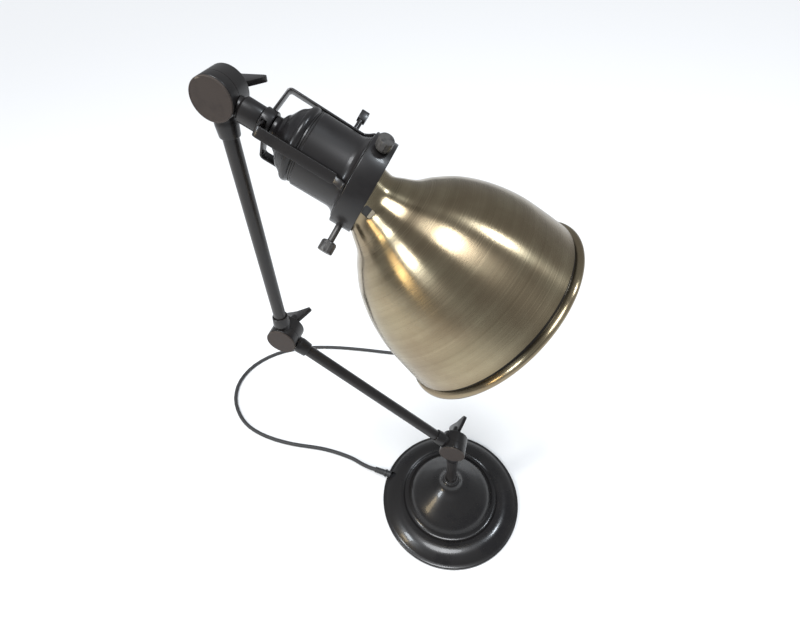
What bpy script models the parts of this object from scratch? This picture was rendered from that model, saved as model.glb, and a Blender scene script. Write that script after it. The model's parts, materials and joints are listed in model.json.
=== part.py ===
"""Swing arm desk lamp: a weighted bell base, two equal arms on three half-lap knuckles, and a metal shade.

Metres, +Z up. The base's centre is the origin, on the table. The arms lie in the XZ plane, and -Y is the
front, where each knuckle has its plain cap; the wing nuts are at the back.
"""

import math

import bmesh
import bpy
from mathutils import Matrix, Vector

GAP = 0.0003  # between pieces that touch
FIT = 0.0003  # radial clearance of a shaft or tube in its hole
MM = 0.001

# Base
BASE_RADIUS = 0.0850
BASE_HEIGHT = 0.0520
BASE_GROOVE_HEIGHT = 0.0110
BASE_WALL = 0.0014
BASE_GROOVE_RADIUS = BASE_RADIUS - 0.0310
BASE_BEAD_RADIUS = BASE_RADIUS - 0.0220
PAD_THICKNESS = 0.0012
WEIGHT_HEIGHT = 0.0095
STEM_RADIUS = 0.0060
BASE_TOP_RADIUS = STEM_RADIUS + 0.0035
STEM_COLLAR_RADIUS = STEM_RADIUS + 0.0032
STEM_COLLAR_HEIGHT = 0.0045

# Arms and their attitude, as angles from +X towards +Z
SHOULDER_HEIGHT = 0.1296
ARM_LENGTH = 0.2175
TUBE_RADIUS = 0.0054
TUBE_WALL = 0.0010
LOWER_ANGLE = 138.8
UPPER_ANGLE = 87.4
HEAD_ANGLE = -30.8

# Knuckles
KNUCKLE_RADIUS = 0.0137
KNUCKLE_FRONT = 0.0096
KNUCKLE_BACK = 0.0124
KNUCKLE_CLEARANCE = 0.0006
CAP_THICKNESS = 0.0013
SLEEVE_LENGTH = 0.0260
SLEEVE_FLOOR = 0.0010
SLEEVE_WALL = 0.0021
SLEEVE_NEAR_WALL = 0.0017
SLEEVE_TIP_WALL = 0.0015
STEM_SLEEVE_NEAR_WALL = 0.0007
BOLT_RADIUS = 0.0027
BOLT_HEAD_RADIUS = BOLT_RADIUS + 0.0028
BOLT_HEAD_HEIGHT = 0.0028
WASHER_RADIUS = BOLT_RADIUS + 0.0053
WASHER_THICKNESS = 0.0010
WING_HUB_RADIUS = BOLT_RADIUS + 0.0031
WING_HUB_HEIGHT = 0.0090
WING_SPAN = 0.0168
WING_HEIGHT = 0.0180
WING_THICKNESS = 0.0034

# Head: distances are along its axis, from the head knuckle
HEAD_SLEEVE_END = 0.0283
NIPPLE_RADIUS = 0.0048
NIPPLE_WALL = 0.0012
HEAD_SLEEVE_RADIUS = NIPPLE_RADIUS + 0.0037
HEAD_SLEEVE_NEAR_RADIUS = NIPPLE_RADIUS + 0.0019
COLLAR_RADIUS = NIPPLE_RADIUS + 0.0049
COLLAR_LENGTH = 0.0074
NECK_RADIUS = NIPPLE_RADIUS + 0.0032
NECK_LENGTH = 0.0029
CAP_LENGTH = 0.0191
HOUSING_RADIUS = 0.0241
HOUSING_LENGTH = 0.0328
HOUSING_WALL = 0.0010
BEAD_RADIUS = HOUSING_RADIUS + 0.0005
FLARE_RADIUS = HOUSING_RADIUS + 0.0041
RING_RADIUS = FLARE_RADIUS + 0.0031
RING_WALL = 0.0011
RING_WIDTH = 0.0150
STRAP_THICKNESS = 0.0015
STRAP_RADIUS = BEAD_RADIUS + GAP + 0.5 * STRAP_THICKNESS + 0.00005
STRAP_WIDTH = 0.0068
STRAP_TONGUE = 0.0046
STRAP_FOOT = 0.0030
STRAP_ANGLES = (70, 190, 310)

# Thumb screws, the switch and the lamp holder
SCREW_ANGLES = (10, 130, 250)
SCREW_RADIUS = 0.0021
SCREW_HEAD_RADIUS = 0.0050
SCREW_HEAD_LENGTH = 0.0078
KNURL = 0.0003
LOOSE_SCREW = 130
SCREW_BACKED_OUT = 0.0115
SWITCH_ANGLE = 290
SWITCH_PLACE = 0.0775
SWITCH_REACH = HOUSING_RADIUS + 0.0250
SWITCH_STEM_RADIUS = 0.0018
BUSH_RADIUS = 0.0043
KNOB_LENGTH = 0.0095
KNOB_WIDTH = 0.0066
KNOB_THICKNESS = 0.0054
HOLDER_RADIUS = HOUSING_RADIUS - HOUSING_WALL - 0.0041
SHELL_RADIUS = 0.0139
SHELL_WALL = 0.0006
SHELL_DEPTH = 0.0250

# Shade: it hangs a little askew in its ring, as its three screws leave it
SHADE_ANGLE = -44.8
SHADE_SIDE_TILT = 2.2
SHADE_DROP = 0.0046
SHADE_FORWARD = 0.0054
SHADE_LIP_DEPTH = 0.0116432
SHADE_LIP_RADIUS = RING_RADIUS - RING_WALL - 0.0077
SHADE_SEAT = SHADE_LIP_DEPTH - SHADE_LIP_RADIUS * math.sin(math.radians(HEAD_ANGLE - SHADE_ANGLE))
SHADE_NECK_RADIUS = SHADE_LIP_RADIUS - 0.0013
SHADE_LENGTH = 0.1186
SHADE_RADIUS = 0.0752
SHADE_WALL = 0.0012
RIM_BEAD = 0.0027
RIM_GROOVE = 0.0014
VENT_START = -0.0006
VENT_LENGTH = 0.0074
VENT_WIDTH = 0.0062
VENT_ANGLES = (70, 190, 310)

# Cord: its points are chosen by hand, on the table
CORD_RADIUS = 0.0025
GLAND_ANGLE = 173.7
GLAND_RADIUS = 0.0040
GLAND_HEIGHT = 0.0062
GLAND_REACH = 0.0180
COIL_CENTRE = (-0.022, 0.262)
COIL_INNER = 0.0174
COIL_OUTER = 0.0385
COIL_LOW = 0.0012
COIL_HIGH = 0.0118
TIE_THICKNESS = 0.0008
TIE_WIDTH = 0.0100
TIE_ANGLE = 205
CORD_ROUTE = [
    (-0.1120, 0.0128, 0.0048),
    (-0.1250, 0.0165, 0.0030),
    (-0.1400, 0.0210, 0.0028),
    (-0.1650, 0.0242, 0.0028),
    (-0.1900, 0.0248, 0.0028),
    (-0.2300, 0.0222, 0.0028),
    (-0.2680, 0.0245, 0.0028),
    (-0.3010, 0.0332, 0.0028),
    (-0.3260, 0.0490, 0.0028),
    (-0.3470, 0.0740, 0.0028),
    (-0.3560, 0.1060, 0.0028),
    (-0.3480, 0.1400, 0.0028),
    (-0.3230, 0.1700, 0.0028),
    (-0.2850, 0.1910, 0.0028),
    (-0.2380, 0.2030, 0.0028),
    (-0.1880, 0.2090, 0.0028),
    (-0.1380, 0.2125, 0.0028),
    (-0.0980, 0.2166, 0.0030),
    (-0.0660, 0.2208, 0.0034),
    (-0.0392, 0.2239, 0.0038),
]
CORD_TAIL = [(0.0142, 0.2835, 0.0090), (0.0142, 0.2890, 0.0088), (0.0142, 0.2960, 0.0085)]
PLUG_WIDTH = 0.0240
PLUG_HEIGHT = 0.0165
PLUG_LENGTH = 0.0260
PLUG_NECK = 0.0120
BLADE_SPACING = 0.0127
BLADE_WIDTH = 0.0063
BLADE_THICKNESS = 0.0015
BLADE_LENGTH = 0.0160

# Colours: base colour, metallic, roughness
LOOKS = {
    "bronze_gloss": ((0.018, 0.018, 0.022), 0.0, 0.18),
    "bronze_satin": ((0.022, 0.022, 0.026), 0.2, 0.38),
    "brass": ((0.42, 0.36, 0.22), 1.0, 0.30),
    "cast_iron": ((0.05, 0.05, 0.05), 0.6, 0.60),
    "steel": ((0.35, 0.35, 0.36), 1.0, 0.35),
    "felt": ((0.02, 0.02, 0.02), 0.0, 0.95),
    "porcelain": ((0.80, 0.78, 0.72), 0.0, 0.25),
    "shell_brass": ((0.65, 0.50, 0.25), 1.0, 0.35),
    "cord_black": ((0.02, 0.02, 0.02), 0.0, 0.55),
    "brass_plate": ((0.70, 0.58, 0.32), 1.0, 0.30),
}


# ---------------------------------------------------------------- helpers


def look(piece, finish):
    """The piece's own material, in that finish."""
    colour, metallic, roughness = LOOKS[finish]
    made = bpy.data.materials.new(f"{piece} {finish}")
    made.use_nodes = True
    shader = made.node_tree.nodes["Principled BSDF"]
    shader.inputs["Base Color"].default_value = (*colour, 1)
    shader.inputs["Metallic"].default_value = metallic
    shader.inputs["Roughness"].default_value = roughness
    return made


def arc(centre, radius, start, end, steps):
    """Points of a round stretch, angles in degrees."""
    angles = [math.radians(start + (end - start) * i / steps) for i in range(steps + 1)]
    return [(centre[0] + radius * math.cos(a), centre[1] + radius * math.sin(a)) for a in angles]


def smooth(points, steps):
    """A Catmull-Rom curve through the points, steps to each stretch."""
    ends = [points[0], *points, points[-1]]
    found = []
    for before, a, b, after in zip(ends, ends[1:], ends[2:], ends[3:]):
        for i in range(steps):
            t = i / steps
            found.append(
                tuple(
                    0.5
                    * (
                        2 * q
                        + (r - p) * t
                        + (2 * p - 5 * q + 4 * r - s) * t * t
                        + (3 * q - p - 3 * r + s) * t**3
                    )
                    for p, q, r, s in zip(before, a, b, after)
                )
            )
    return [*found, tuple(points[-1])]


def inner(outline, wall):
    """The outline moved by the wall to its left, which is inwards where it climbs."""
    moved = []
    for i, (r, z) in enumerate(outline):
        before, after = outline[max(i - 1, 0)], outline[min(i + 1, len(outline) - 1)]
        along = Vector((after[0] - before[0], after[1] - before[1])).normalized()
        moved.append((r - along.y * wall, z + along.x * wall))
    return moved


def add(name, mesh, finish, place):
    """An object of that mesh, at a place given as a matrix."""
    obj = bpy.data.objects.new(name, mesh)
    mesh.materials.append(look(name, finish))
    bpy.context.scene.collection.objects.link(obj)
    obj.matrix_world = place
    return obj


def finished(name, bm, smooth_angle=35):
    """A closed mesh from bm, its faces outwards and its round faces smooth."""
    bmesh.ops.remove_doubles(bm, verts=bm.verts, dist=1e-6)
    bmesh.ops.recalc_face_normals(bm, faces=bm.faces)
    mesh = bpy.data.meshes.new(name)
    bm.to_mesh(mesh)
    bm.free()
    mesh.shade_smooth()
    mesh.set_sharp_from_angle(angle=math.radians(smooth_angle))
    return mesh


def turned(name, outline, finish, place, steps=32):
    """A piece turned about local Z from an outline of (radius, height)."""
    bm = bmesh.new()
    verts = [bm.verts.new((r, 0, z)) for r, z in outline]
    edges = [bm.edges.new(pair) for pair in zip(verts, verts[1:])]
    if outline[0][0] > 0 or outline[-1][0] > 0:
        edges.append(bm.edges.new((verts[-1], verts[0])))
    bmesh.ops.spin(
        bm, geom=verts + edges, cent=(0, 0, 0), axis=(0, 0, 1), angle=2 * math.pi, steps=steps,
        use_merge=True,
    )
    return add(name, finished(name, bm), finish, place)


def rod(name, radius, low, high, finish, place, steps=32, edge=0.0004):
    """A plain round bar with broken edges."""
    outline = [(0, low), (radius - edge, low), (radius, low + edge)]
    outline += [(radius, high - edge), (radius - edge, high), (0, high)]
    return turned(name, outline, finish, place, steps)


def tube(name, radius, wall, low, high, finish, place, steps=24):
    """A round tube, open at both ends."""
    outline = [(radius - wall, low), (radius, low), (radius, high), (radius - wall, high)]
    return turned(name, outline, finish, place, steps)


def prism(name, outline, low, high, finish, place):
    """A piece with that (x, y) outline, from local Z low to high."""
    bm = bmesh.new()
    face = bm.faces.new([bm.verts.new((x, y, low)) for x, y in outline])
    extruded = bmesh.ops.extrude_face_region(bm, geom=[face], use_keep_orig=True)
    top = [v for v in extruded["geom"] if isinstance(v, bmesh.types.BMVert)]
    bmesh.ops.translate(bm, verts=top, vec=(0, 0, high - low))
    return add(name, finished(name, bm), finish, place)


def ribbon(name, path, widths, thickness, finish, place):
    """A flat bar bent along a path of (x, z), as wide along Y as widths says at each point."""
    bm = bmesh.new()
    rows = []
    for i, (x, z) in enumerate(path):
        before, after = path[max(i - 1, 0)], path[min(i + 1, len(path) - 1)]
        along = Vector((after[0] - before[0], after[1] - before[1])).normalized()
        out = Vector((-along.y, along.x)) * thickness / 2
        half = widths[i] / 2
        corners = [(1, -1), (1, 1), (-1, 1), (-1, -1)]
        rows.append([bm.verts.new((x + a * out.x, b * half, z + a * out.y)) for a, b in corners])
    for first, second in zip(rows, rows[1:]):
        for i in range(4):
            j = (i + 1) % 4
            bm.faces.new((first[i], first[j], second[j], second[i]))
    bm.faces.new(rows[0])
    bm.faces.new(rows[-1])
    return add(name, finished(name, bm), finish, place)


def helper(obj):
    """Marks a cutter or a piece that is joined to another, which the build leaves out."""
    obj.hide_render = True
    obj.display_type = "WIRE"
    return obj


def combine(obj, other, operation="DIFFERENCE"):
    """Cuts the helper from obj, or joins it."""
    modifier = obj.modifiers.new(f"{operation.lower()} {other.name}", "BOOLEAN")
    modifier.operation = operation
    modifier.object = helper(other)
    return obj


def arm_frame(origin, angle):
    """Local Z along an arm at that angle in the XZ plane, X across it and Y to the front."""
    a = math.radians(angle)
    along = Vector((math.cos(a), 0, math.sin(a)))
    across = Vector((-math.sin(a), 0, math.cos(a)))
    axes = Matrix((across, Vector((0, -1, 0)), along)).transposed()
    return Matrix.Translation(origin) @ axes.to_4x4()


def facing(side):
    """Turns local Z to +Y, the front, for side 1, or to -Y, the back, for side -1."""
    return Matrix.Rotation(math.radians(-90 * side), 4, "X")


def at(x=0.0, y=0.0, z=0.0):
    return Matrix.Translation((x, y, z))


def around(degrees):
    return Matrix.Rotation(math.radians(degrees), 4, "Z")


# ---------------------------------------------------------------- places

SHOULDER = Vector((0, 0, SHOULDER_HEIGHT))
ELBOW = SHOULDER + arm_frame((0, 0, 0), LOWER_ANGLE).to_3x3() @ Vector((0, 0, ARM_LENGTH))
WRIST = ELBOW + arm_frame((0, 0, 0), UPPER_ANGLE).to_3x3() @ Vector((0, 0, ARM_LENGTH))
HEAD = arm_frame(WRIST, HEAD_ANGLE)
SLEEVE_START = KNUCKLE_RADIUS + KNUCKLE_CLEARANCE
BORE_START = SLEEVE_START + SLEEVE_FLOOR
COLLAR_START = HEAD_SLEEVE_END + GAP
NECK_START = COLLAR_START + COLLAR_LENGTH + GAP
DOME_START = NECK_START + NECK_LENGTH
CAP_END = DOME_START + CAP_LENGTH
HOUSING_START = CAP_END + GAP
HOUSING_END = HOUSING_START + HOUSING_LENGTH
RING_START = HOUSING_END + GAP
RING_END = RING_START + RING_WIDTH
SCREW_PLACE = RING_START + 0.5 * RING_WIDTH
SHADE_START = RING_END - 2.0 * MM


def shade_frame():
    """The shade's own axis, from where it passes the ring's front edge."""
    tilt, side = math.radians(SHADE_ANGLE), math.radians(SHADE_SIDE_TILT)
    along = Vector((math.cos(tilt) * math.cos(side), math.sin(side), math.sin(tilt) * math.cos(side)))
    across = Vector((-math.sin(tilt), 0, math.cos(tilt)))
    front = along.cross(across).normalized()
    axes = Matrix((front.cross(along), front, along)).transposed()
    origin = HEAD @ Vector((-SHADE_DROP, SHADE_FORWARD, SHADE_START))
    return Matrix.Translation(origin) @ axes.to_4x4()


SHADE = shade_frame()


# ---------------------------------------------------------------- base


def cone_point(out, up):
    """A point of the base's cone: its shares of the way out to the groove, and up from it."""
    radius = BASE_TOP_RADIUS + out * (BASE_GROOVE_RADIUS - BASE_TOP_RADIUS)
    return radius, BASE_GROOVE_HEIGHT + up * (BASE_HEIGHT - BASE_GROOVE_HEIGHT)


def base_outline():
    """The cover's outer line, from its top down to the brim's foot."""
    shares = [(0, 1), (0.10, 0.84), (0.315, 0.683), (0.573, 0.476), (0.809, 0.268), (0.951, 0.063)]
    r, z = BASE_BEAD_RADIUS, BASE_GROOVE_HEIGHT
    valley = [(BASE_GROOVE_RADIUS + 2.0 * MM, z + 0.2 * MM)]
    bead = [(r - 3.5 * MM, z + 1.7 * MM), (r + 1.5 * MM, z + 2.2 * MM), (r + 7.5 * MM, z + 0.9 * MM)]
    bead += [(r + 13.5 * MM, z - 2.2 * MM), (r + 18.0 * MM, z - 5.4 * MM)]
    cone = [cone_point(*share) for share in shares]
    lip = arc((BASE_RADIUS - 1.5 * MM, 3.3 * MM), 1.5 * MM, 80, 0, 2)
    return [*smooth([*cone, *valley, *bead], 2), *lip, (BASE_RADIUS, PAD_THICKNESS)]


def base_lining():
    """The cover's inner line, which follows the outer one without its small ridges."""
    wall, low = BASE_WALL, PAD_THICKNESS
    shares = [(0.072, 0.80), (0.288, 0.639), (0.560, 0.424), (0.771, 0.239), (0.924, 0.015)]
    return [
        (STEM_RADIUS + FIT, BASE_HEIGHT - wall),
        (BASE_TOP_RADIUS - 0.5 * MM, BASE_HEIGHT - wall),
        *[cone_point(*share) for share in shares],
        (BASE_GROOVE_RADIUS + 0.6 * MM, BASE_GROOVE_HEIGHT - 1.7 * MM),
        (BASE_BEAD_RADIUS + 3.0 * MM, BASE_GROOVE_HEIGHT - 1.7 * MM),
        (BASE_RADIUS - 1.2 * wall, 2.8 * MM),
        (BASE_RADIUS - 1.2 * wall, low),
    ]


def make_base():
    outline = [(STEM_RADIUS + FIT, BASE_HEIGHT), *base_outline(), *reversed(base_lining())]
    cover = turned("base_cover", outline, "bronze_gloss", at(), 40)
    gland_hole = rod(
        "gland_hole", GLAND_RADIUS + FIT, -0.02, 0.02, "felt",
        around(GLAND_ANGLE) @ at(BASE_RADIUS, 0, GLAND_HEIGHT) @ Matrix.Rotation(math.pi / 2, 4, "Y"),
        20,
    )
    combine(cover, gland_hole)
    low, hole = PAD_THICKNESS, STEM_RADIUS + 6 * MM
    weight = [
        (hole, low),
        (BASE_RADIUS - 13.0 * MM, low),
        (BASE_RADIUS - 13.0 * MM, low + 2.5 * MM),
        (BASE_GROOVE_RADIUS - 3.0 * MM, WEIGHT_HEIGHT - 2.0 * MM),
        (BASE_GROOVE_RADIUS - 8.0 * MM, WEIGHT_HEIGHT),
        (hole, WEIGHT_HEIGHT),
    ]
    turned("base_weight", weight, "cast_iron", at(), 32)
    top, edge = PAD_THICKNESS - GAP, BASE_RADIUS - 0.4 * MM
    turned("base_pad", [(0, 0), (edge, 0), (edge, top), (0, top)], "felt", at(), 40)


def make_stem():
    """The tube that stands in the base, its collar, and the nut that holds it."""
    top = SHOULDER_HEIGHT - BORE_START - GAP
    tube("stem_tube", STEM_RADIUS, TUBE_WALL, WEIGHT_HEIGHT + 2 * MM, top, "bronze_satin", at())
    low = BASE_HEIGHT + GAP
    high = low + STEM_COLLAR_HEIGHT
    hole = STEM_RADIUS + FIT
    outline = [
        (hole, low),
        (STEM_COLLAR_RADIUS - 0.5 * MM, low),
        *arc((STEM_COLLAR_RADIUS - 1.0 * MM, low + 1.0 * MM), 1.0 * MM, -60, 80, 3),
        (STEM_RADIUS + 1.6 * MM, low + 2.4 * MM),
        (STEM_RADIUS + 1.2 * MM, high),
        (hole, high),
    ]
    turned("stem_collar", outline, "bronze_gloss", at(), 28)
    nut_top = BASE_HEIGHT - BASE_WALL - 2.4 * MM
    hexagon = arc((0, 0), STEM_RADIUS + 3.2 * MM, 0, 300, 5)
    nut = prism("stem_nut", hexagon, nut_top - 5 * MM, nut_top, "steel", at())
    combine(nut, rod("stem_nut_thread", hole, 0, BASE_HEIGHT, "felt", at(), 24))


# ---------------------------------------------------------------- knuckles


def disc_outline(low, high):
    """A knuckle's disc, with its outer edge broken."""
    edge = 0.8 * MM
    corner = [(KNUCKLE_RADIUS, high - edge), (KNUCKLE_RADIUS - edge, high)]
    return [(0, low), (KNUCKLE_RADIUS, low), *corner, (0, high)]


def sleeve_outline(near, radius, tip, end):
    """The boss that takes an arm's tube: its radius at the disc, past it and at its end."""
    start = BOLT_RADIUS + FIT + 2 * MM
    return [
        (0, start),
        (near, start),
        (near, SLEEVE_START + 0.4 * MM),
        (radius, SLEEVE_START + 2.2 * MM),
        (tip, end - 0.8 * MM),
        (tip - 0.6 * MM, end),
        (0, end),
    ]


def knuckle_half(name, place, side, sleeve, end, bore):
    """A half-lap knuckle's half: a disc to one side of the middle plane, and a sleeve centred on it."""
    depth = KNUCKLE_FRONT - CAP_THICKNESS - GAP if side > 0 else KNUCKLE_BACK
    hole, across = BOLT_RADIUS + FIT, place @ facing(side)
    half = turned(name, disc_outline(-1 * MM, depth), "bronze_satin", across, 28)
    turn = around(360 / 56)  # keeps the facets of the two off each other
    combine(half, turned(f"{name}_sleeve", sleeve, "bronze_satin", place @ turn, 16), "UNION")
    room = [(0, GAP / 2), (SLEEVE_START, GAP / 2), (SLEEVE_START, -0.03), (0, -0.03)]
    combine(half, turned(f"{name}_room", room, "felt", across, 32))
    combine(half, rod(f"{name}_hole", hole, -0.03, 0.03, "felt", across, 12))
    combine(half, rod(f"{name}_bore", bore + FIT, BORE_START, end + 0.01, "felt", place, 16))
    if side > 0:
        floor = depth - BOLT_HEAD_HEIGHT
        combine(half, rod(f"{name}_seat", BOLT_HEAD_RADIUS + FIT, floor, 0.03, "felt", across, 16))
    return half


def wing_outline():
    """Half the wings' plate, in a plane through the nut's axis: x outwards, y away from the knuckle."""
    r, span, high, tip = WING_HUB_RADIUS, WING_SPAN, WING_HEIGHT, 2.3 * MM
    neck = [(0, 1.4 * MM), (r + 0.5 * MM, 1.8 * MM), (0.4 * r + 0.4 * span, 0.27 * high)]
    neck += [(0.2 * r + 0.65 * span, 0.48 * high), (span - 1.8 * MM, high - 5.4 * MM)]
    return [*neck, *arc((span - tip, high - tip), tip, -30, 100, 5), (0, high - 1.6 * MM)]


def wing_nut(name, place, turn):
    """A nut with a flat winged plate across it, at the back of a knuckle."""
    place = place @ facing(-1) @ around(turn) @ at(z=KNUCKLE_BACK + WASHER_THICKNESS + 2 * GAP)
    r, h, half = WING_HUB_RADIUS, WING_HUB_HEIGHT, WING_THICKNESS / 2
    hub = [(0, 0), (r, 0), (r, 1.2 * MM), (r - 1.5 * MM, h), (0, h)]
    nut = turned(name, hub, "bronze_satin", place, 20)
    right = wing_outline()
    plate = [*right, *[(-x, y) for x, y in reversed(right) if x > 0]]
    upright = Matrix.Rotation(math.pi / 2, 4, "X")
    combine(nut, prism(f"{name}_plate", plate, -half, half, "bronze_satin", place @ upright), "UNION")
    combine(nut, rod(f"{name}_thread", BOLT_RADIUS + FIT, -0.01, h - 1 * MM, "felt", place, 16))


def make_fasteners(joint, place, turn):
    """A knuckle's cap, bolt, washer and wing nut."""
    front = place @ facing(1)
    cap_low = KNUCKLE_FRONT - CAP_THICKNESS
    r, face, bevel = KNUCKLE_RADIUS, KNUCKLE_FRONT, 0.5 * MM
    cap = [(0, cap_low), (r, cap_low), (r, face - bevel), (r - bevel, face), (0, face)]
    turned(f"{joint}_cap", cap, "bronze_satin", front, 32)
    top = cap_low - GAP
    neck = top - BOLT_HEAD_HEIGHT + GAP
    tail = -(KNUCKLE_BACK + WASHER_THICKNESS + WING_HUB_HEIGHT - 2 * MM)
    shank, head, chamfer = BOLT_RADIUS, BOLT_HEAD_RADIUS, 0.4 * MM
    bolt = [(0, tail), (shank - chamfer, tail), (shank, tail + chamfer), (shank, neck)]
    turned(f"{joint}_bolt", [*bolt, (head, neck), (head, top), (0, top)], "steel", front, 16)
    low = KNUCKLE_BACK + GAP
    wall = WASHER_RADIUS - BOLT_RADIUS - FIT
    high, back = low + WASHER_THICKNESS, place @ facing(-1)
    tube(f"{joint}_washer", WASHER_RADIUS, wall, low, high, "steel", back, 20)
    wing_nut(f"{joint}_wing_nut", place, turn)


def make_arm(name, start, angle, side):
    """An arm's tube, and the knuckle half at each of its ends."""
    place = arm_frame(start, angle)
    end = place @ Vector((0, 0, ARM_LENGTH))
    r, end_of_sleeve = TUBE_RADIUS, SLEEVE_LENGTH
    sleeve = sleeve_outline(r + SLEEVE_NEAR_WALL, r + SLEEVE_WALL, r + SLEEVE_TIP_WALL, end_of_sleeve)
    knuckle_half(f"{name}_near_half", place, side, sleeve, end_of_sleeve, r)
    knuckle_half(f"{name}_far_half", arm_frame(end, angle + 180), side, sleeve, end_of_sleeve, r)
    low, high = BORE_START + GAP, ARM_LENGTH - BORE_START - GAP
    tube(f"{name}_tube", TUBE_RADIUS, TUBE_WALL, low, high, "bronze_satin", place)
    return end


# ---------------------------------------------------------------- head


def strap_path():
    """A strap's middle line, as (distance from the axis, distance along it)."""
    foot = [(COLLAR_RADIUS - 1.6 * MM, COLLAR_START + STRAP_FOOT)]
    bend = arc((STRAP_RADIUS - 2.6 * MM, COLLAR_START + STRAP_FOOT + 4 * MM), 2.6 * MM, 260, 360, 6)
    start, end = HOUSING_END - 7.5 * MM, HOUSING_END - 1.0 * MM
    near, far = STRAP_RADIUS, RING_RADIUS - 1.3 * MM
    rise = smooth([(near, start), (0.55 * near + 0.45 * far, start + 3.6 * MM), (far, end)], 3)
    return [*foot, *bend, *rise, (far, RING_START - GAP - 0.1 * MM)]


def make_straps():
    path = strap_path()
    widths = [STRAP_WIDTH if z < HOUSING_END - 7.0 * MM else STRAP_TONGUE for _, z in path]
    for i, angle in enumerate(STRAP_ANGLES):
        ribbon(f"strap_{i + 1}", path, widths, STRAP_THICKNESS, "bronze_satin", HEAD @ around(angle))


def make_collar():
    """The collar that the straps stand in, with a slot for each."""
    low, high = COLLAR_START, COLLAR_START + COLLAR_LENGTH
    r = COLLAR_RADIUS
    hole, edge = NIPPLE_RADIUS + FIT, 0.5 * MM
    outline = [(hole, low), (r - edge, low), (r, low + edge)]
    outline += [(r, high - edge), (r - edge, high), (hole, high)]
    collar = turned("strap_collar", outline, "bronze_satin", HEAD, 30)
    half = STRAP_WIDTH / 2 + GAP
    near, far = r - 3 * MM, r + 5 * MM
    slot = [(near, -half), (far, -half), (far, half), (near, half)]
    low, high = low + STRAP_FOOT - 1.5 * MM, low + STRAP_FOOT + 1.9 * MM
    for i, angle in enumerate(STRAP_ANGLES):
        combine(collar, prism(f"strap_slot_{i}", slot, low, high, "felt", HEAD @ around(angle)))


def cap_outline():
    """The housing's domed end: a neck, a small shoulder, a dome and a fat bead."""
    z, r = DOME_START, BEAD_RADIUS
    dome = [
        (NECK_RADIUS + 0.9 * MM, z + 0.5 * MM),
        (NECK_RADIUS + 3.6 * MM, z + 2.2 * MM),
        (NECK_RADIUS + 5.4 * MM, z + 4.2 * MM),
        (r - 6.0 * MM, z + 7.7 * MM),
        (r - 4.0 * MM, z + 10.4 * MM),
    ]
    bead = arc((r - 3.0 * MM, CAP_END - 3.6 * MM), 3.0 * MM, -75, 60, 6)
    seat = HOUSING_RADIUS - 0.8 * MM
    return [(NECK_RADIUS, z), *smooth(dome, 2), *bead, (seat, CAP_END - 0.4 * MM), (seat, CAP_END)]


def cap_lining():
    """The cap's inner line, a plain cone under its bead."""
    z, wall = DOME_START, HOUSING_WALL
    return [
        (NIPPLE_RADIUS + FIT, NECK_START),
        (NIPPLE_RADIUS + FIT, z + 2 * wall),
        (NECK_RADIUS, z + 2 * wall),
        (NECK_RADIUS + 4.2 * MM, z + 3.0 * MM + 1.5 * wall),
        (BEAD_RADIUS - 5.6 * MM, z + 8.8 * MM + 1.5 * wall),
        (HOUSING_RADIUS - 0.8 * MM - wall, CAP_END - 4.0 * MM),
        (HOUSING_RADIUS - 0.8 * MM - wall, CAP_END),
    ]


def make_housing():
    """The housing's cap, and its can, which flares into the ring."""
    outline = [(NECK_RADIUS, NECK_START), *cap_outline(), *reversed(cap_lining())]
    turned("housing_cap", outline, "bronze_satin", HEAD, 32)
    start, end, r, wall = HOUSING_START, HOUSING_END, HOUSING_RADIUS, HOUSING_WALL
    neck = r - 0.9 * MM
    bell = [(r, end - 5.5 * MM), (r + 0.6 * MM, end - 3.2 * MM), (r + 2.2 * MM, end - 1.3 * MM)]
    bell = smooth([*bell, (FLARE_RADIUS, end - 0.5 * MM)], 2)
    outer = [(neck, start), (neck, start + 1.0 * MM), (r, start + 1.8 * MM), *bell, (FLARE_RADIUS, end)]
    lining = [(neck - wall, start), (neck - wall, start + 2.4 * MM), (r - wall, start + 3.2 * MM)]
    lining += [(r - wall, end - 3.4 * MM), (r + 0.4 * MM, end)]
    turned("housing_body", [*outer, *reversed(lining)], "bronze_satin", HEAD, 32)


def make_ring():
    """The ring that holds the shade, with a hole for each thumb screw."""
    low, high, r = RING_START, RING_END, RING_RADIUS
    hole, bore = FLARE_RADIUS - 4.5 * MM, r - RING_WALL
    outline = [(hole, low), (r - 0.8 * MM, low), (r, low + 0.8 * MM), (r, high - 0.4 * MM)]
    outline += [(r - 0.4 * MM, high), (bore, high), (bore, low + RING_WALL), (hole, low + RING_WALL)]
    ring = turned("gallery_ring", outline, "bronze_satin", HEAD, 40)
    for i, angle in enumerate(SCREW_ANGLES):
        span = (bore - 4 * MM, r + 4 * MM)
        cutter = rod(f"screw_hole_{i}", SCREW_RADIUS + FIT, *span, "felt", screw_frame(angle), 16)
        combine(ring, cutter)


def screw_frame(angle):
    """Local Z out through the ring, from the head's axis."""
    return HEAD @ around(angle) @ at(z=SCREW_PLACE) @ Matrix.Rotation(math.pi / 2, 4, "Y")


def lip_distance(angle):
    """How far from the head's axis the shade's lip is, along a screw at that angle."""
    place = SHADE.inverted() @ screw_frame(angle)
    start, along = place.translation, place.to_3x3() @ Vector((0, 0, 1))
    flat_start, flat_along = start.xy, along.xy
    a = flat_along.dot(flat_along)
    b = flat_start.dot(flat_along)
    c = flat_start.dot(flat_start) - SHADE_LIP_RADIUS**2
    return (-b + math.sqrt(b * b - a * c)) / a


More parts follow.
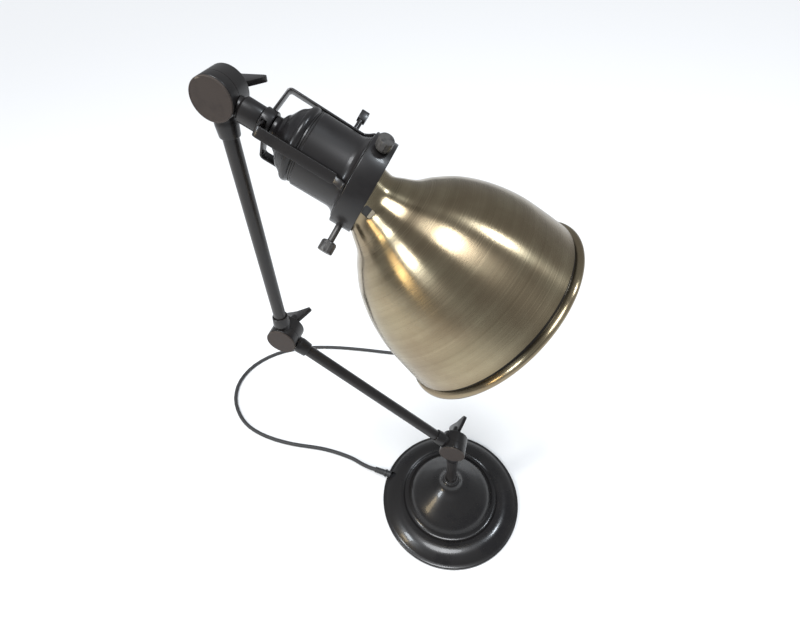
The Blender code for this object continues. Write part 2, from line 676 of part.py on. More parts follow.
def make_thumb_screw(name, place, head_low, tip):
    """A screw with a knurled head, rounded where it meets the shank."""
    ridges, r, length = 14, SCREW_HEAD_RADIUS, SCREW_HEAD_LENGTH
    rows = [(r - 1.6 * MM, 0, 0), (r - 0.5 * MM, 0.5 * MM, 0), (r, 1.6 * MM, KNURL)]
    rows += [(r, length - 0.5 * MM, KNURL), (r - 0.5 * MM, length, 0)]
    bm = bmesh.new()
    rings = []
    for radius, z, knurl in rows:
        reaches = [(radius - knurl * (i % 2), math.pi * i / ridges) for i in range(2 * ridges)]
        ring = [(reach * math.cos(a), reach * math.sin(a), head_low + z) for reach, a in reaches]
        rings.append([bm.verts.new(point) for point in ring])
    for first, second in zip(rings, rings[1:]):
        for i in range(2 * ridges):
            j = (i + 1) % (2 * ridges)
            bm.faces.new((first[i], first[j], second[j], second[i]))
    bm.faces.new(rings[0])
    bm.faces.new(rings[-1])
    head = add(name, finished(name, bm, 20), "bronze_satin", place)
    shank = [(0, tip), (SCREW_RADIUS - 1.0 * MM, tip), (SCREW_RADIUS, tip + 1.2 * MM)]
    shank += [(SCREW_RADIUS, head_low + 1.0 * MM), (0, head_low + 1.0 * MM)]
    combine(head, turned(f"{name}_shank", shank, "bronze_satin", place, 16), "UNION")


def make_thumb_screws():
    """Two screws are in, up to the shade's lip, and the other is backed out."""
    for i, angle in enumerate(SCREW_ANGLES):
        backed_out = SCREW_BACKED_OUT if angle == LOOSE_SCREW else 2 * GAP
        tip = lip_distance(angle) + 0.8 * MM
        head_low = RING_RADIUS + backed_out
        make_thumb_screw(f"thumb_screw_{i + 1}", screw_frame(angle), head_low, tip)


def make_switch():
    """The switch's bush on the housing, and the turning knob on its stem."""
    upright = Matrix.Rotation(math.pi / 2, 4, "Y")
    place = HEAD @ around(SWITCH_ANGLE) @ at(z=SWITCH_PLACE) @ upright
    low, r = HOUSING_RADIUS + GAP, SWITCH_STEM_RADIUS
    tube("switch_bush", BUSH_RADIUS, BUSH_RADIUS - r - FIT, low, low + 2.4 * MM, "bronze_satin", place, 24)
    foot, half = SWITCH_REACH - KNOB_LENGTH, KNOB_WIDTH / 2
    knob = rod("switch_knob", r, low + 0.4 * MM, foot + 2.0 * MM, "bronze_satin", place, 20)
    paddle = arc((SWITCH_REACH - half, 0), half, -90, 90, 8)
    paddle += arc((foot + 2.2 * MM, 0), 2.4 * MM, 120, 240, 4)
    turn, thick = place @ upright.inverted(), KNOB_THICKNESS / 2
    combine(knob, prism("switch_paddle", paddle, -thick, thick, "bronze_satin", turn), "UNION")


def make_lamp_holder():
    """The nipple that joins the head's parts, the insulator, its screw shell and its contact."""
    low = DOME_START + 5.0 * MM
    tube("head_nipple", NIPPLE_RADIUS, NIPPLE_WALL, BORE_START + GAP, low - GAP, "steel", HEAD, 24)
    base = HOUSING_START + 4.0 * MM
    floor = base + 5.0 * MM
    end = floor + SHELL_DEPTH + 2.0 * MM
    r, hole, edge = HOLDER_RADIUS, SHELL_RADIUS + GAP, 0.8 * MM
    outline = [(0, low), (NIPPLE_RADIUS + 3.5 * MM, low), (NIPPLE_RADIUS + 5 * MM, base), (r, base)]
    outline += [(r, end - edge), (r - edge, end), (hole, end), (hole, floor), (0, floor)]
    turned("lamp_holder", outline, "porcelain", HEAD, 28)
    low, r, wall = floor + GAP, SHELL_RADIUS, SHELL_WALL
    wave = [(r - 0.4 * MM * (i % 2), low + 4.0 * MM + 1.8 * MM * i) for i in range(9)]
    hole, high = r - 0.4 * MM - wall, low + SHELL_DEPTH - 1 * MM
    shell = [(r, low), *wave, (r, high), (hole, high)]
    lining = [(hole, low + wall), (r - 4 * MM, low + wall), (r - 4 * MM, low)]
    turned("screw_shell", [*shell, *lining], "shell_brass", HEAD, 24)
    rod("centre_contact", 3.5 * MM, low, low + 2.0 * MM, "shell_brass", HEAD, 16)


# ---------------------------------------------------------------- shade


def shade_flare():
    """The shade's outer line, from its neck to the groove before its rim."""
    neck, r = SHADE_NECK_RADIUS, SHADE_RADIUS
    return [
        (neck, 0),
        (neck + 0.4 * MM, 5.0 * MM),
        (neck + 3.9 * MM, 10.8 * MM),
        (neck + 9.6 * MM, 19.2 * MM),
        (neck + 18.5 * MM, 26.8 * MM),
        (neck + 29.8 * MM, 39 * MM),
        (r - 14.2 * MM, 56 * MM),
        (r - 6.7 * MM, 76 * MM),
        (r - 2.6 * MM, 97 * MM),
        (r - 0.2 * MM, SHADE_LENGTH - 5.6 * MM),
    ]


def make_shade():
    """A turned shade with a lip in the ring, a rolled rim, and slots round its neck for air."""
    neck, lip, r, wall, start = SHADE_NECK_RADIUS, SHADE_LIP_RADIUS, SHADE_RADIUS, SHADE_WALL, -SHADE_SEAT
    flare = smooth(shade_flare(), 2)
    edge = [(lip, start), (lip, start + 1.2 * MM), (neck, start + 2.0 * MM)]
    groove = [(r - RIM_GROOVE, SHADE_LENGTH - 5.0 * MM), (r - RIM_GROOVE, SHADE_LENGTH - 3.0 * MM)]
    bead = arc((r, SHADE_LENGTH), RIM_BEAD, -70, 190, 6)
    lining = inner(flare, wall)[::2]
    lining[0] = (neck - wall, start)
    lining[-1] = (r - RIM_GROOVE - wall, SHADE_LENGTH - 5.8 * MM)
    lining.append((r - RIM_GROOVE - wall, SHADE_LENGTH - 3.0 * MM))
    outline = [*edge, *flare, *groove, *bead, *reversed(lining)]
    shade = turned("shade", outline, "brass", SHADE, 40)
    half, corner, near = VENT_WIDTH / 2, 1.4 * MM, VENT_START
    vent = arc((near, half - corner), corner, 180, 90, 2)
    vent += arc((near + VENT_LENGTH - corner, half - corner), corner, 90, 0, 2)
    vent += [(x, -y) for x, y in reversed(vent)]
    upright = Matrix.Rotation(-math.pi / 2, 4, "Y")
    for i, angle in enumerate(VENT_ANGLES):
        place = SHADE @ around(angle) @ upright
        cutter = prism(f"vent_{i}", vent, -neck - 9 * MM, -neck + 6 * MM, "felt", place)
        combine(shade, cutter)


# ---------------------------------------------------------------- cord


def cord(name, points, steps):
    """A tube along a smooth curve through the points."""
    data = bpy.data.curves.new(name, "CURVE")
    data.dimensions = "3D"
    data.bevel_depth = CORD_RADIUS
    data.bevel_resolution = 2
    data.use_fill_caps = True
    line = smooth(points, steps)
    spline = data.splines.new("POLY")
    spline.points.add(len(line) - 1)
    for point, (x, y, z) in zip(spline.points, line):
        point.co = (x, y, z, 1)
    obj = bpy.data.objects.new(name, data)
    data.materials.append(look(name, "cord_black"))
    bpy.context.scene.collection.objects.link(obj)


def make_cord():
    """The strain relief, the cord on the table, its coil and the tie round it."""
    upright = Matrix.Rotation(math.pi / 2, 4, "Y")
    place = around(GLAND_ANGLE) @ at(BASE_RADIUS, 0, GLAND_HEIGHT) @ upright
    r, bore, tip = GLAND_RADIUS, CORD_RADIUS + FIT, CORD_RADIUS + 1.2 * MM
    collar = [(r, 1.5 * MM), (r + 0.9 * MM, 1.8 * MM), (r + 0.9 * MM, 3.4 * MM), (r, 3.8 * MM)]
    outline = [(bore, -5 * MM), (r, -5 * MM), *collar, (tip, GLAND_REACH), (bore, GLAND_REACH)]
    turned("cord_gland", outline, "cord_black", place, 20)
    ends = [tuple(place @ Vector((0, 0, reach))) for reach in (-4 * MM, GLAND_REACH)]
    cord("cord_run", [*ends, *CORD_ROUTE], 3)
    low, high, inner_r, outer_r, c = COIL_LOW, COIL_HIGH, COIL_INNER, COIL_OUTER, 2.4 * MM
    bundle = [(inner_r + c, low), (outer_r - c, low), (outer_r, low + c), (outer_r, high - c)]
    bundle += [(outer_r - c, high), (inner_r + c, high), (inner_r, high - c), (inner_r, low + c)]
    turned("cord_coil", bundle, "cord_black", at(*COIL_CENTRE), 32)
    gap, wall, half = GAP, TIE_THICKNESS, TIE_WIDTH / 2
    near = math.sqrt(inner_r**2 - half**2)
    box = [(near, low), (outer_r, low), (outer_r, high), (near, high)]
    signs = [(-1, -1), (1, -1), (1, 1), (-1, 1)]
    hole = [(x + a * gap, y + b * gap) for (x, y), (a, b) in zip(box, signs)]
    band = [(x + a * wall, y + b * wall) for (x, y), (a, b) in zip(hole, signs)]
    place = at(*COIL_CENTRE) @ around(TIE_ANGLE) @ Matrix.Rotation(math.pi / 2, 4, "X")
    tie = prism("cord_tie", band, -half, half, "cord_black", place)
    combine(tie, prism("cord_tie_hole", hole, -2 * half, 2 * half, "felt", place))


def plug_outline(half, tail):
    """The plug's outline seen across it, along +Y from its tail, and half as wide as given."""
    neck, length, edge = PLUG_NECK, PLUG_NECK + PLUG_LENGTH, 1 * MM
    right = [(tail, 0), (tail + 1.2 * MM, neck), (half - 1.5 * MM, neck + 3 * MM)]
    right += [(half, neck + 7 * MM), (half, length - edge), (half - edge, length)]
    return [*right, *[(-x, y) for x, y in reversed(right)]]


def make_plug():
    """The plug beside the coil, with its tail of cord and its two flat blades."""
    cord("cord_tail", CORD_TAIL, 1)
    x, y, _ = CORD_TAIL[-1]
    half_width, half_height = PLUG_WIDTH / 2, PLUG_HEIGHT / 2
    place = at(x, y + GAP, half_height + GAP)
    plan = plug_outline(half_width, 3.6 * MM)
    plug = prism("cord_plug", plan, -half_height, half_height, "cord_black", place)
    side = [(b, a) for a, b in plug_outline(half_height, 3.4 * MM)]
    across = place @ Matrix.Rotation(math.radians(120), 4, Vector((1, 1, 1)))
    combine(plug, prism("cord_plug_side", side, -0.02, 0.02, "cord_black", across), "INTERSECT")
    start = PLUG_NECK + PLUG_LENGTH + GAP
    end, half = start + BLADE_LENGTH, BLADE_WIDTH / 2
    for i, middle in enumerate((-BLADE_SPACING / 2, BLADE_SPACING / 2)):
        left, right = middle - BLADE_THICKNESS / 2, middle + BLADE_THICKNESS / 2
        blade = [(left, start), (right, start), (right, end - 1 * MM), (middle, end), (left, end - 1 * MM)]
        prism(f"plug_blade_{i + 1}", blade, -half, half, "brass_plate", place)


def clear_scene():
    for obj in list(bpy.data.objects):
        bpy.data.objects.remove(obj, do_unlink=True)


def main():
    clear_scene()
    make_base()
    make_stem()
    down, r = arm_frame(SHOULDER, -90), STEM_RADIUS
    sleeve = (r + STEM_SLEEVE_NEAR_WALL, r + SLEEVE_WALL, r + SLEEVE_TIP_WALL, SLEEVE_LENGTH)
    knuckle_half("stem_half", down, 1, sleeve_outline(*sleeve), SLEEVE_LENGTH, r)
    make_fasteners("shoulder", down, 118)
    elbow = make_arm("lower_arm", SHOULDER, LOWER_ANGLE, -1)
    make_fasteners("elbow", arm_frame(elbow, LOWER_ANGLE), 22)
    wrist = make_arm("upper_arm", elbow, UPPER_ANGLE, 1)
    make_fasteners("wrist", arm_frame(wrist, UPPER_ANGLE), 0)
    sleeve = (HEAD_SLEEVE_NEAR_RADIUS, HEAD_SLEEVE_RADIUS, HEAD_SLEEVE_RADIUS, HEAD_SLEEVE_END)
    knuckle_half("head_half", HEAD, -1, sleeve_outline(*sleeve), HEAD_SLEEVE_END, NIPPLE_RADIUS)
    make_collar()
    make_straps()
    make_housing()
    make_ring()
    make_thumb_screws()
    make_switch()
    make_lamp_holder()
    make_shade()
    make_cord()
    make_plug()


main()
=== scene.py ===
# %% [markdown]
# # Swing arm desk lamp
# A dark bronze lamp with a heavy round base, two arms on wing-nut knuckles and a brushed brass shade.
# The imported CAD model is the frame: it says where every piece is and which body it moves with.
# Each piece here is a finer copy, or a finer remake, of one of its solids, in metres, +Z up.

# %% The frame
import json
import math
import bpy
from mathutils import Matrix, Vector

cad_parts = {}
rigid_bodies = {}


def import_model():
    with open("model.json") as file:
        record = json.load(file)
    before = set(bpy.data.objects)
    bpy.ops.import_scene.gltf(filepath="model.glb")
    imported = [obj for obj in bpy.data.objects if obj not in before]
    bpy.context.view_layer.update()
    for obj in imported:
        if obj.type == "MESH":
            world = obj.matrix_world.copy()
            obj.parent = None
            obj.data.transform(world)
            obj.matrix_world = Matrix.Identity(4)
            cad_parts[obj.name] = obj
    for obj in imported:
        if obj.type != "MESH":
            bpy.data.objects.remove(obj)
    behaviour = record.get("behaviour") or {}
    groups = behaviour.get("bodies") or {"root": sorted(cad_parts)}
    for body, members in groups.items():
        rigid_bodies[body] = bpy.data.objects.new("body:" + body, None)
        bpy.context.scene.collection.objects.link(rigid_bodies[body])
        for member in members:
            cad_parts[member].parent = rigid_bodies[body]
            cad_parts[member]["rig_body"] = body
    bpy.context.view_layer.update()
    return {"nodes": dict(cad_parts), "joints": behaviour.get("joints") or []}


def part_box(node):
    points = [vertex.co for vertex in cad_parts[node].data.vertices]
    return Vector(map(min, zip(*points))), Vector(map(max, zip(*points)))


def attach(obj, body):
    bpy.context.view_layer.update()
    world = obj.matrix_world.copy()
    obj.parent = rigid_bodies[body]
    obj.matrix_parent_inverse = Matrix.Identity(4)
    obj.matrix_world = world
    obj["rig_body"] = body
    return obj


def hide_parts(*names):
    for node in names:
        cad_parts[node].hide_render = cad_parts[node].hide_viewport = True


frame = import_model()
MM = 0.001
joints = {joint["name"]: joint for joint in frame["joints"]}
SHOULDER = Vector((0, 0, joints["shoulder"]["pos_m"][2]))
ELBOW = Vector(joints["elbow"]["pos_m"])
WRIST = Vector(joints["head_tilt"]["pos_m"])
print("knuckles at", [tuple(round(v, 4) for v in point) for point in (SHOULDER, ELBOW, WRIST)])

# %% [markdown]
# ## Camera
# The lamp is seen from the front and well above, with the camera rolled a little. The lens is wide, so
# the camera stands close. Its axes come from three angles, and a matrix of those axes turns it.

# %% Camera
CAMERA_PLACE = Vector((25.86, -246.80, 586.43)) * MM
CAMERA_AZIMUTH, CAMERA_DOWN, CAMERA_ROLL = (math.radians(a) for a in (-17.05, 44.80, -3.79))
LENS = 20.58

forward = Vector((
    math.sin(CAMERA_AZIMUTH) * math.cos(CAMERA_DOWN),
    math.cos(CAMERA_AZIMUTH) * math.cos(CAMERA_DOWN),
    -math.sin(CAMERA_DOWN),
))
level = forward.cross(Vector((0, 0, 1))).normalized()
upward = level.cross(forward)
right = math.cos(CAMERA_ROLL) * level + math.sin(CAMERA_ROLL) * upward
top = -math.sin(CAMERA_ROLL) * level + math.cos(CAMERA_ROLL) * upward
camera_data = bpy.data.cameras.new("camera")
camera_data.lens, camera_data.sensor_width = LENS, 36
camera_data.clip_start = 0.01
camera = bpy.data.objects.new("camera", camera_data)
camera.matrix_world = Matrix.Translation(CAMERA_PLACE) @ Matrix((right, top, -forward)).transposed().to_4x4()
bpy.context.scene.collection.objects.link(camera)
bpy.context.scene.camera = camera

# %% [markdown]
# ## Helpers
# An operator acts on what is selected, so each helper first deselects everything. A turned piece starts
# as a circle, and each further ring is extruded from the last and scaled, as it would be by hand.
# Pieces are made upright at the origin, then moved to their place with their place applied to the mesh.

# %% Selecting and placing
def only(obj):
    """Selects obj alone and makes it active."""
    bpy.ops.object.select_all(action="DESELECT")
    obj.select_set(True)
    bpy.context.view_layer.objects.active = obj
    return obj


def placed(obj, name, place):
    """Moves obj to a place, applies it to the mesh, and names it."""
    only(obj)
    obj.name = obj.data.name = name
    obj.matrix_world = place
    bpy.ops.object.transform_apply(location=True, rotation=True, scale=True)
    return obj


def smoothed(obj, degrees=32):
    only(obj)
    bpy.ops.object.shade_smooth_by_angle(angle=math.radians(degrees))
    return obj


def applied(obj, kind, **settings):
    """Adds a modifier with those settings and applies it."""
    only(obj)
    modifier = obj.modifiers.new(kind.title(), kind)
    for key, value in settings.items():
        setattr(modifier, key, value)
    bpy.ops.object.modifier_apply(modifier=modifier.name)
    return obj


def cut(obj, cutter, operation="DIFFERENCE"):
    """Cuts the cutter from obj, or joins it, and removes the cutter."""
    applied(obj, "BOOLEAN", object=cutter, operation=operation, solver="EXACT")
    bpy.data.objects.remove(cutter)
    return obj


def dressed(obj, body, material, slot, *nodes):
    """Gives obj its material and its body, and hides the CAD nodes that it stands for. The slot is not used.
    """
    obj.data.materials.clear()
    obj.data.materials.append(material)
    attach(obj, body)
    if nodes:
        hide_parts(*nodes)
    return obj


# %% Turning
def turned(profile, steps=96, ring=False):
    """A piece turned about Z from (radius, height) points. A ring's ends are joined, other ends closed."""
    radius, height = profile[0]
    bpy.ops.object.select_all(action="DESELECT")
    fill = "NOTHING" if ring else "NGON"
    bpy.ops.mesh.primitive_circle_add(vertices=steps, radius=radius, fill_type=fill, location=(0, 0, height))
    obj = bpy.context.object
    bpy.ops.object.transform_apply(location=True, rotation=True, scale=True)
    bpy.ops.object.mode_set(mode="EDIT")
    bpy.ops.mesh.select_mode(type="EDGE")
    bpy.ops.mesh.select_all(action="SELECT")
    if not ring:
        bpy.ops.mesh.delete(type="ONLY_FACE")
        bpy.ops.mesh.select_all(action="SELECT")
    for new_radius, new_height in profile[1:]:
        move = {"value": (0, 0, new_height - height)}
        bpy.ops.mesh.extrude_edges_move(TRANSFORM_OT_translate=move)
        grow = new_radius / radius
        bpy.ops.transform.resize(value=(grow, grow, 1), center_override=(0, 0, new_height))
        radius, height = new_radius, new_height
    bpy.ops.mesh.select_all(action="DESELECT")
    bpy.ops.mesh.select_mode(type="VERT")
    bpy.ops.mesh.select_non_manifold(extend=False)
    if ring:
        bpy.ops.mesh.bridge_edge_loops()
    else:
        bpy.ops.mesh.select_mode(type="EDGE")
        bpy.ops.mesh.edge_face_add()
    bpy.ops.mesh.select_all(action="SELECT")
    bpy.ops.mesh.normals_make_consistent(inside=False)
    bpy.ops.object.mode_set(mode="OBJECT")
    return obj


def arc(centre, radius, start, end, steps):
    """Points of a round stretch, angles in degrees."""
    angles = [math.radians(start + (end - start) * i / steps) for i in range(steps + 1)]
    return [(centre[0] + radius * math.cos(a), centre[1] + radius * math.sin(a)) for a in angles]


def smooth(points, steps):
    """A Catmull-Rom curve through the points, steps to each stretch."""
    found = []
    ends = [points[0], *points, points[-1]]
    for before, a, b, after in zip(ends, ends[1:], ends[2:], ends[3:]):
        for i in range(steps):
            t = i / steps
            p, q, r, s = (Vector(point) for point in (before, a, b, after))
            bend = (r - p) * t + (2 * p - 5 * q + 4 * r - s) * t**2 + (3 * q - p - 3 * r + s) * t**3
            found.append(tuple(q + 0.5 * bend))
    return [*found, tuple(points[-1])]


def arm_frame(origin, angle):
    """Local Z along an arm at that angle in the XZ plane, X across it and Y to the front."""
    a = math.radians(angle)
    axes = Matrix(((-math.sin(a), 0, math.cos(a)), (0, -1, 0), (math.cos(a), 0, math.sin(a)))).transposed()
    return Matrix.Translation(origin) @ axes.to_4x4()


def facing(side):
    return Matrix.Rotation(math.radians(-90 * side), 4, "X")


def around(degrees):
    return Matrix.Rotation(math.radians(degrees), 4, "Z")


def angle_of(start, end):
    return math.degrees(math.atan2(end.z - start.z, end.x - start.x))


HEAD_ANGLE = -30.8
HEAD = arm_frame(WRIST, HEAD_ANGLE)
LOWER_ANGLE, UPPER_ANGLE = angle_of(SHOULDER, ELBOW), angle_of(ELBOW, WRIST)
print("arms at", round(LOWER_ANGLE, 1), round(UPPER_ANGLE, 1), "degrees")

# %% [markdown]
# ## Shared effects
# Real enamel and metal are never one flat colour. Three small node groups carry what the finishes share:
# cloudy handling marks, a fine grain, and a paler colour where an edge stands proud of the surface, which
# is wear, and on the knuckle caps also a painted highlight along the bevel.

# %% Shader groups
def node(tree, kind, **settings):
    made = tree.nodes.new(kind)
    for key, value in settings.items():
        if key in made.inputs:
            made.inputs[key].default_value = value
        else:
            setattr(made, key, value)
    return made


def group(name, inputs, output):
    """A new shader group with value inputs and one value output."""
    tree = bpy.data.node_groups.new(name, "ShaderNodeTree")
    tree.interface.new_socket("Vector", in_out="INPUT", socket_type="NodeSocketVector")
    for label, value in inputs:
        socket = tree.interface.new_socket(label, in_out="INPUT", socket_type="NodeSocketFloat")
        socket.default_value = value
    tree.interface.new_socket(output, in_out="OUTPUT", socket_type="NodeSocketFloat")
    return tree, tree.nodes.new("NodeGroupInput"), tree.nodes.new("NodeGroupOutput")


def make_marks():
    """Cloudy marks, from 0 where the surface is clean to 1 where it has been handled."""
    tree, given, out = group("handling marks", [("Scale", 30.0), ("Cover", 0.5)], "Mask")
    noise = node(tree, "ShaderNodeTexNoise", Detail=6.0, Roughness=0.62)
    span = node(tree, "ShaderNodeMapRange")
    span.inputs["To Min"].default_value = 1.0
    span.inputs["To Max"].default_value = 0.0
    high = node(tree, "ShaderNodeMath", operation="ADD")
    high.inputs[1].default_value = 0.22
    tree.links.new(given.outputs["Vector"], noise.inputs["Vector"])
    tree.links.new(given.outputs["Scale"], noise.inputs["Scale"])
    tree.links.new(noise.outputs["Fac"], span.inputs["Value"])
    tree.links.new(given.outputs["Cover"], span.inputs["From Min"])
    tree.links.new(given.outputs["Cover"], high.inputs[0])
    tree.links.new(high.outputs[0], span.inputs["From Max"])
    tree.links.new(span.outputs["Result"], out.inputs["Mask"])
    return tree


def make_grain():
    """A fine even grain, for bump and for small changes of roughness."""
    tree, given, out = group("fine grain", [("Scale", 900.0)], "Value")
    noise = node(tree, "ShaderNodeTexNoise", Detail=3.0, Roughness=0.55)
    tree.links.new(given.outputs["Vector"], noise.inputs["Vector"])
    tree.links.new(given.outputs["Scale"], noise.inputs["Scale"])
    tree.links.new(noise.outputs["Fac"], out.inputs["Value"])
    return tree


def make_edge_wear_and_sheen():
    """Where an edge stands proud, broken up by noise: wear, and on the caps a painted highlight."""
    tree, given, out = group("edge wear", [("Scale", 220.0), ("Reach", 0.54)], "Mask")
    noise = node(tree, "ShaderNodeTexNoise", Detail=5.0, Roughness=0.7)
    shape = node(tree, "ShaderNodeNewGeometry")
    edge = node(tree, "ShaderNodeMapRange")
    edge.inputs["From Max"].default_value = 0.62
    both = node(tree, "ShaderNodeMath", operation="MULTIPLY", use_clamp=True)
    tree.links.new(given.outputs["Vector"], noise.inputs["Vector"])
    tree.links.new(given.outputs["Scale"], noise.inputs["Scale"])
    tree.links.new(shape.outputs["Pointiness"], edge.inputs["Value"])
    tree.links.new(given.outputs["Reach"], edge.inputs["From Min"])
    tree.links.new(edge.outputs["Result"], both.inputs[0])
    tree.links.new(noise.outputs["Fac"], both.inputs[1])
    tree.links.new(both.outputs[0], out.inputs["Mask"])
    return tree


MARKS, GRAIN, EDGE_WEAR_AND_SHEEN = make_marks(), make_grain(), make_edge_wear_and_sheen()

# %% [markdown]
# ## Finishes
# Each finish is a Principled shader. What changes over the surface is linked: colour between a clean and
# a handled tone, roughness, and bump. What is the same all over is set on the shader's own sockets.

# %% A finish
def finish(name, clean, handled, rough, edge_wear_and_sheen=None, bump=0.02, grain=900.0, marks=30.0, cover=0.5, **fixed):
    """A material whose colour and roughness change with handling, with a fine grain, and with paler edges
    that are wear and, on the caps, a painted highlight.
    """
    made = bpy.data.materials.new(name)
    made.use_nodes = True
    tree = made.node_tree
    shader = tree.nodes["Principled BSDF"]
    for label, value in fixed.items():
        shader.inputs[label.replace("_", " ")].default_value = value
    place = node(tree, "ShaderNodeTexCoord").outputs["Object"]
    mask = node(tree, "ShaderNodeGroup", node_tree=MARKS)
    mask.inputs["Scale"].default_value = marks
    mask.inputs["Cover"].default_value = cover
    fine = node(tree, "ShaderNodeGroup", node_tree=GRAIN)
    fine.inputs["Scale"].default_value = grain
    colour = node(tree, "ShaderNodeMix", data_type="RGBA")
    colour.inputs["A"].default_value = (*clean, 1)
    colour.inputs["B"].default_value = (*handled, 1)
    roughness = node(tree, "ShaderNodeMapRange")
    roughness.inputs["To Min"].default_value = rough[0]
    roughness.inputs["To Max"].default_value = rough[1]
    lift = node(tree, "ShaderNodeBump", Strength=0.6, Distance=bump * MM)
    tree.links.new(place, mask.inputs["Vector"])
    tree.links.new(place, fine.inputs["Vector"])
    tree.links.new(mask.outputs["Mask"], colour.inputs["Factor"])
    tree.links.new(mask.outputs["Mask"], roughness.inputs["Value"])
    tree.links.new(fine.outputs["Value"], lift.inputs["Height"])
    tree.links.new(lift.outputs["Normal"], shader.inputs["Normal"])
    tree.links.new(roughness.outputs["Result"], shader.inputs["Roughness"])
    last = colour.outputs["Result"]
    if edge_wear_and_sheen:
        worn_and_sheen_mask = node(tree, "ShaderNodeGroup", node_tree=EDGE_WEAR_AND_SHEEN)
        tint = node(tree, "ShaderNodeMix", data_type="RGBA")
        tint.inputs["B"].default_value = (*edge_wear_and_sheen, 1)
        tree.links.new(place, worn_and_sheen_mask.inputs["Vector"])
        tree.links.new(worn_and_sheen_mask.outputs["Mask"], tint.inputs["Factor"])
        tree.links.new(last, tint.inputs["A"])
        last = tint.outputs["Result"]
    tree.links.new(last, shader.inputs["Base Color"])
    return made


BRONZE = finish(
    "bronze enamel", (0.0055, 0.0050, 0.0060), (0.012, 0.0105, 0.0105), (0.24, 0.36),
    edge_wear_and_sheen=(0.030, 0.025, 0.022), bump=0.02, Specular_IOR_Level=0.38, Coat_Weight=0.12, Coat_Roughness=0.08,
)
BRONZE_GLOSS = finish(
    "glossy bronze enamel", (0.0050, 0.0046, 0.0055), (0.010, 0.009, 0.009), (0.20, 0.30),
    edge_wear_and_sheen=(0.030, 0.025, 0.022), bump=0.015, marks=22.0,
    Specular_IOR_Level=0.38, Coat_Weight=0.2, Coat_Roughness=0.06,
)
# The knuckle caps' paler edge colour is partly wear and partly a painted highlight along their bevel.
CAP_BRONZE = finish(
    "rubbed bronze", (0.036, 0.028, 0.025), (0.052, 0.041, 0.036), (0.46, 0.60), edge_wear_and_sheen=(0.30, 0.25, 0.20),
    bump=0.02, marks=120.0, Metallic=0.3, Specular_IOR_Level=0.35,
)
WORN = finish(
    "worn screw heads", (0.045, 0.043, 0.044), (0.11, 0.105, 0.10), (0.28, 0.44), edge_wear_and_sheen=(0.30, 0.28, 0.27),
    bump=0.02, marks=240.0, Metallic=0.6, Specular_IOR_Level=0.4,
)
STEEL = finish(
    "plated steel", (0.42, 0.42, 0.43), (0.25, 0.25, 0.25), (0.28, 0.45), marks=160.0, Metallic=1.0,
)
IRON = finish("raw casting", (0.06, 0.055, 0.05), (0.10, 0.07, 0.05), (0.6, 0.8), bump=0.2, grain=500.0)
FELT = finish("black felt", (0.012, 0.012, 0.013), (0.03, 0.03, 0.032), (0.9, 1.0), bump=0.25, grain=2200.0)
PORCELAIN = finish(
    "glazed porcelain", (0.78, 0.76, 0.70), (0.66, 0.62, 0.53), (0.16, 0.30), bump=0.03, grain=200.0,
    Coat_Weight=0.5, Coat_Roughness=0.05,
)
SHELL_BRASS = finish("pressed brass", (0.68, 0.52, 0.26), (0.42, 0.30, 0.14), (0.24, 0.42), Metallic=1.0)
RUBBER = finish("cord rubber", (0.014, 0.014, 0.015), (0.030, 0.030, 0.031), (0.42, 0.62), bump=0.04)
LINING = finish(
    "warm white lining", (0.80, 0.76, 0.66), (0.70, 0.64, 0.52), (0.38, 0.55), bump=0.05, grain=700.0,
)

# %% [markdown]
# ## Brushed brass
# The shade was spun and brushed on a lathe, so its scratches run round it, and its highlights spread
# along it from neck to rim. The lines come from noise read along the profile only, in a Mapping node's
# frame on the shade's axis, and the spread comes from the shader's anisotropy along the UV map's rings.

# %% Brushed brass
SHADE_ANGLE, SHADE_SIDE = -44.8, 2.2


def shade_axes():
    tilt, side = math.radians(SHADE_ANGLE), math.radians(SHADE_SIDE)
    along = Vector((math.cos(tilt) * math.cos(side), math.sin(side), math.sin(tilt) * math.cos(side)))
    across = Vector((-math.sin(tilt), 0, math.cos(tilt)))
    front = along.cross(across).normalized()
    return Matrix((front.cross(along), front, along)).transposed().to_4x4()


SHADE_DROP, SHADE_FORWARD, SHADE_START = 4.6 * MM, 5.4 * MM, 104.7 * MM
SHADE = Matrix.Translation(HEAD @ Vector((-SHADE_DROP, SHADE_FORWARD, SHADE_START))) @ shade_axes()


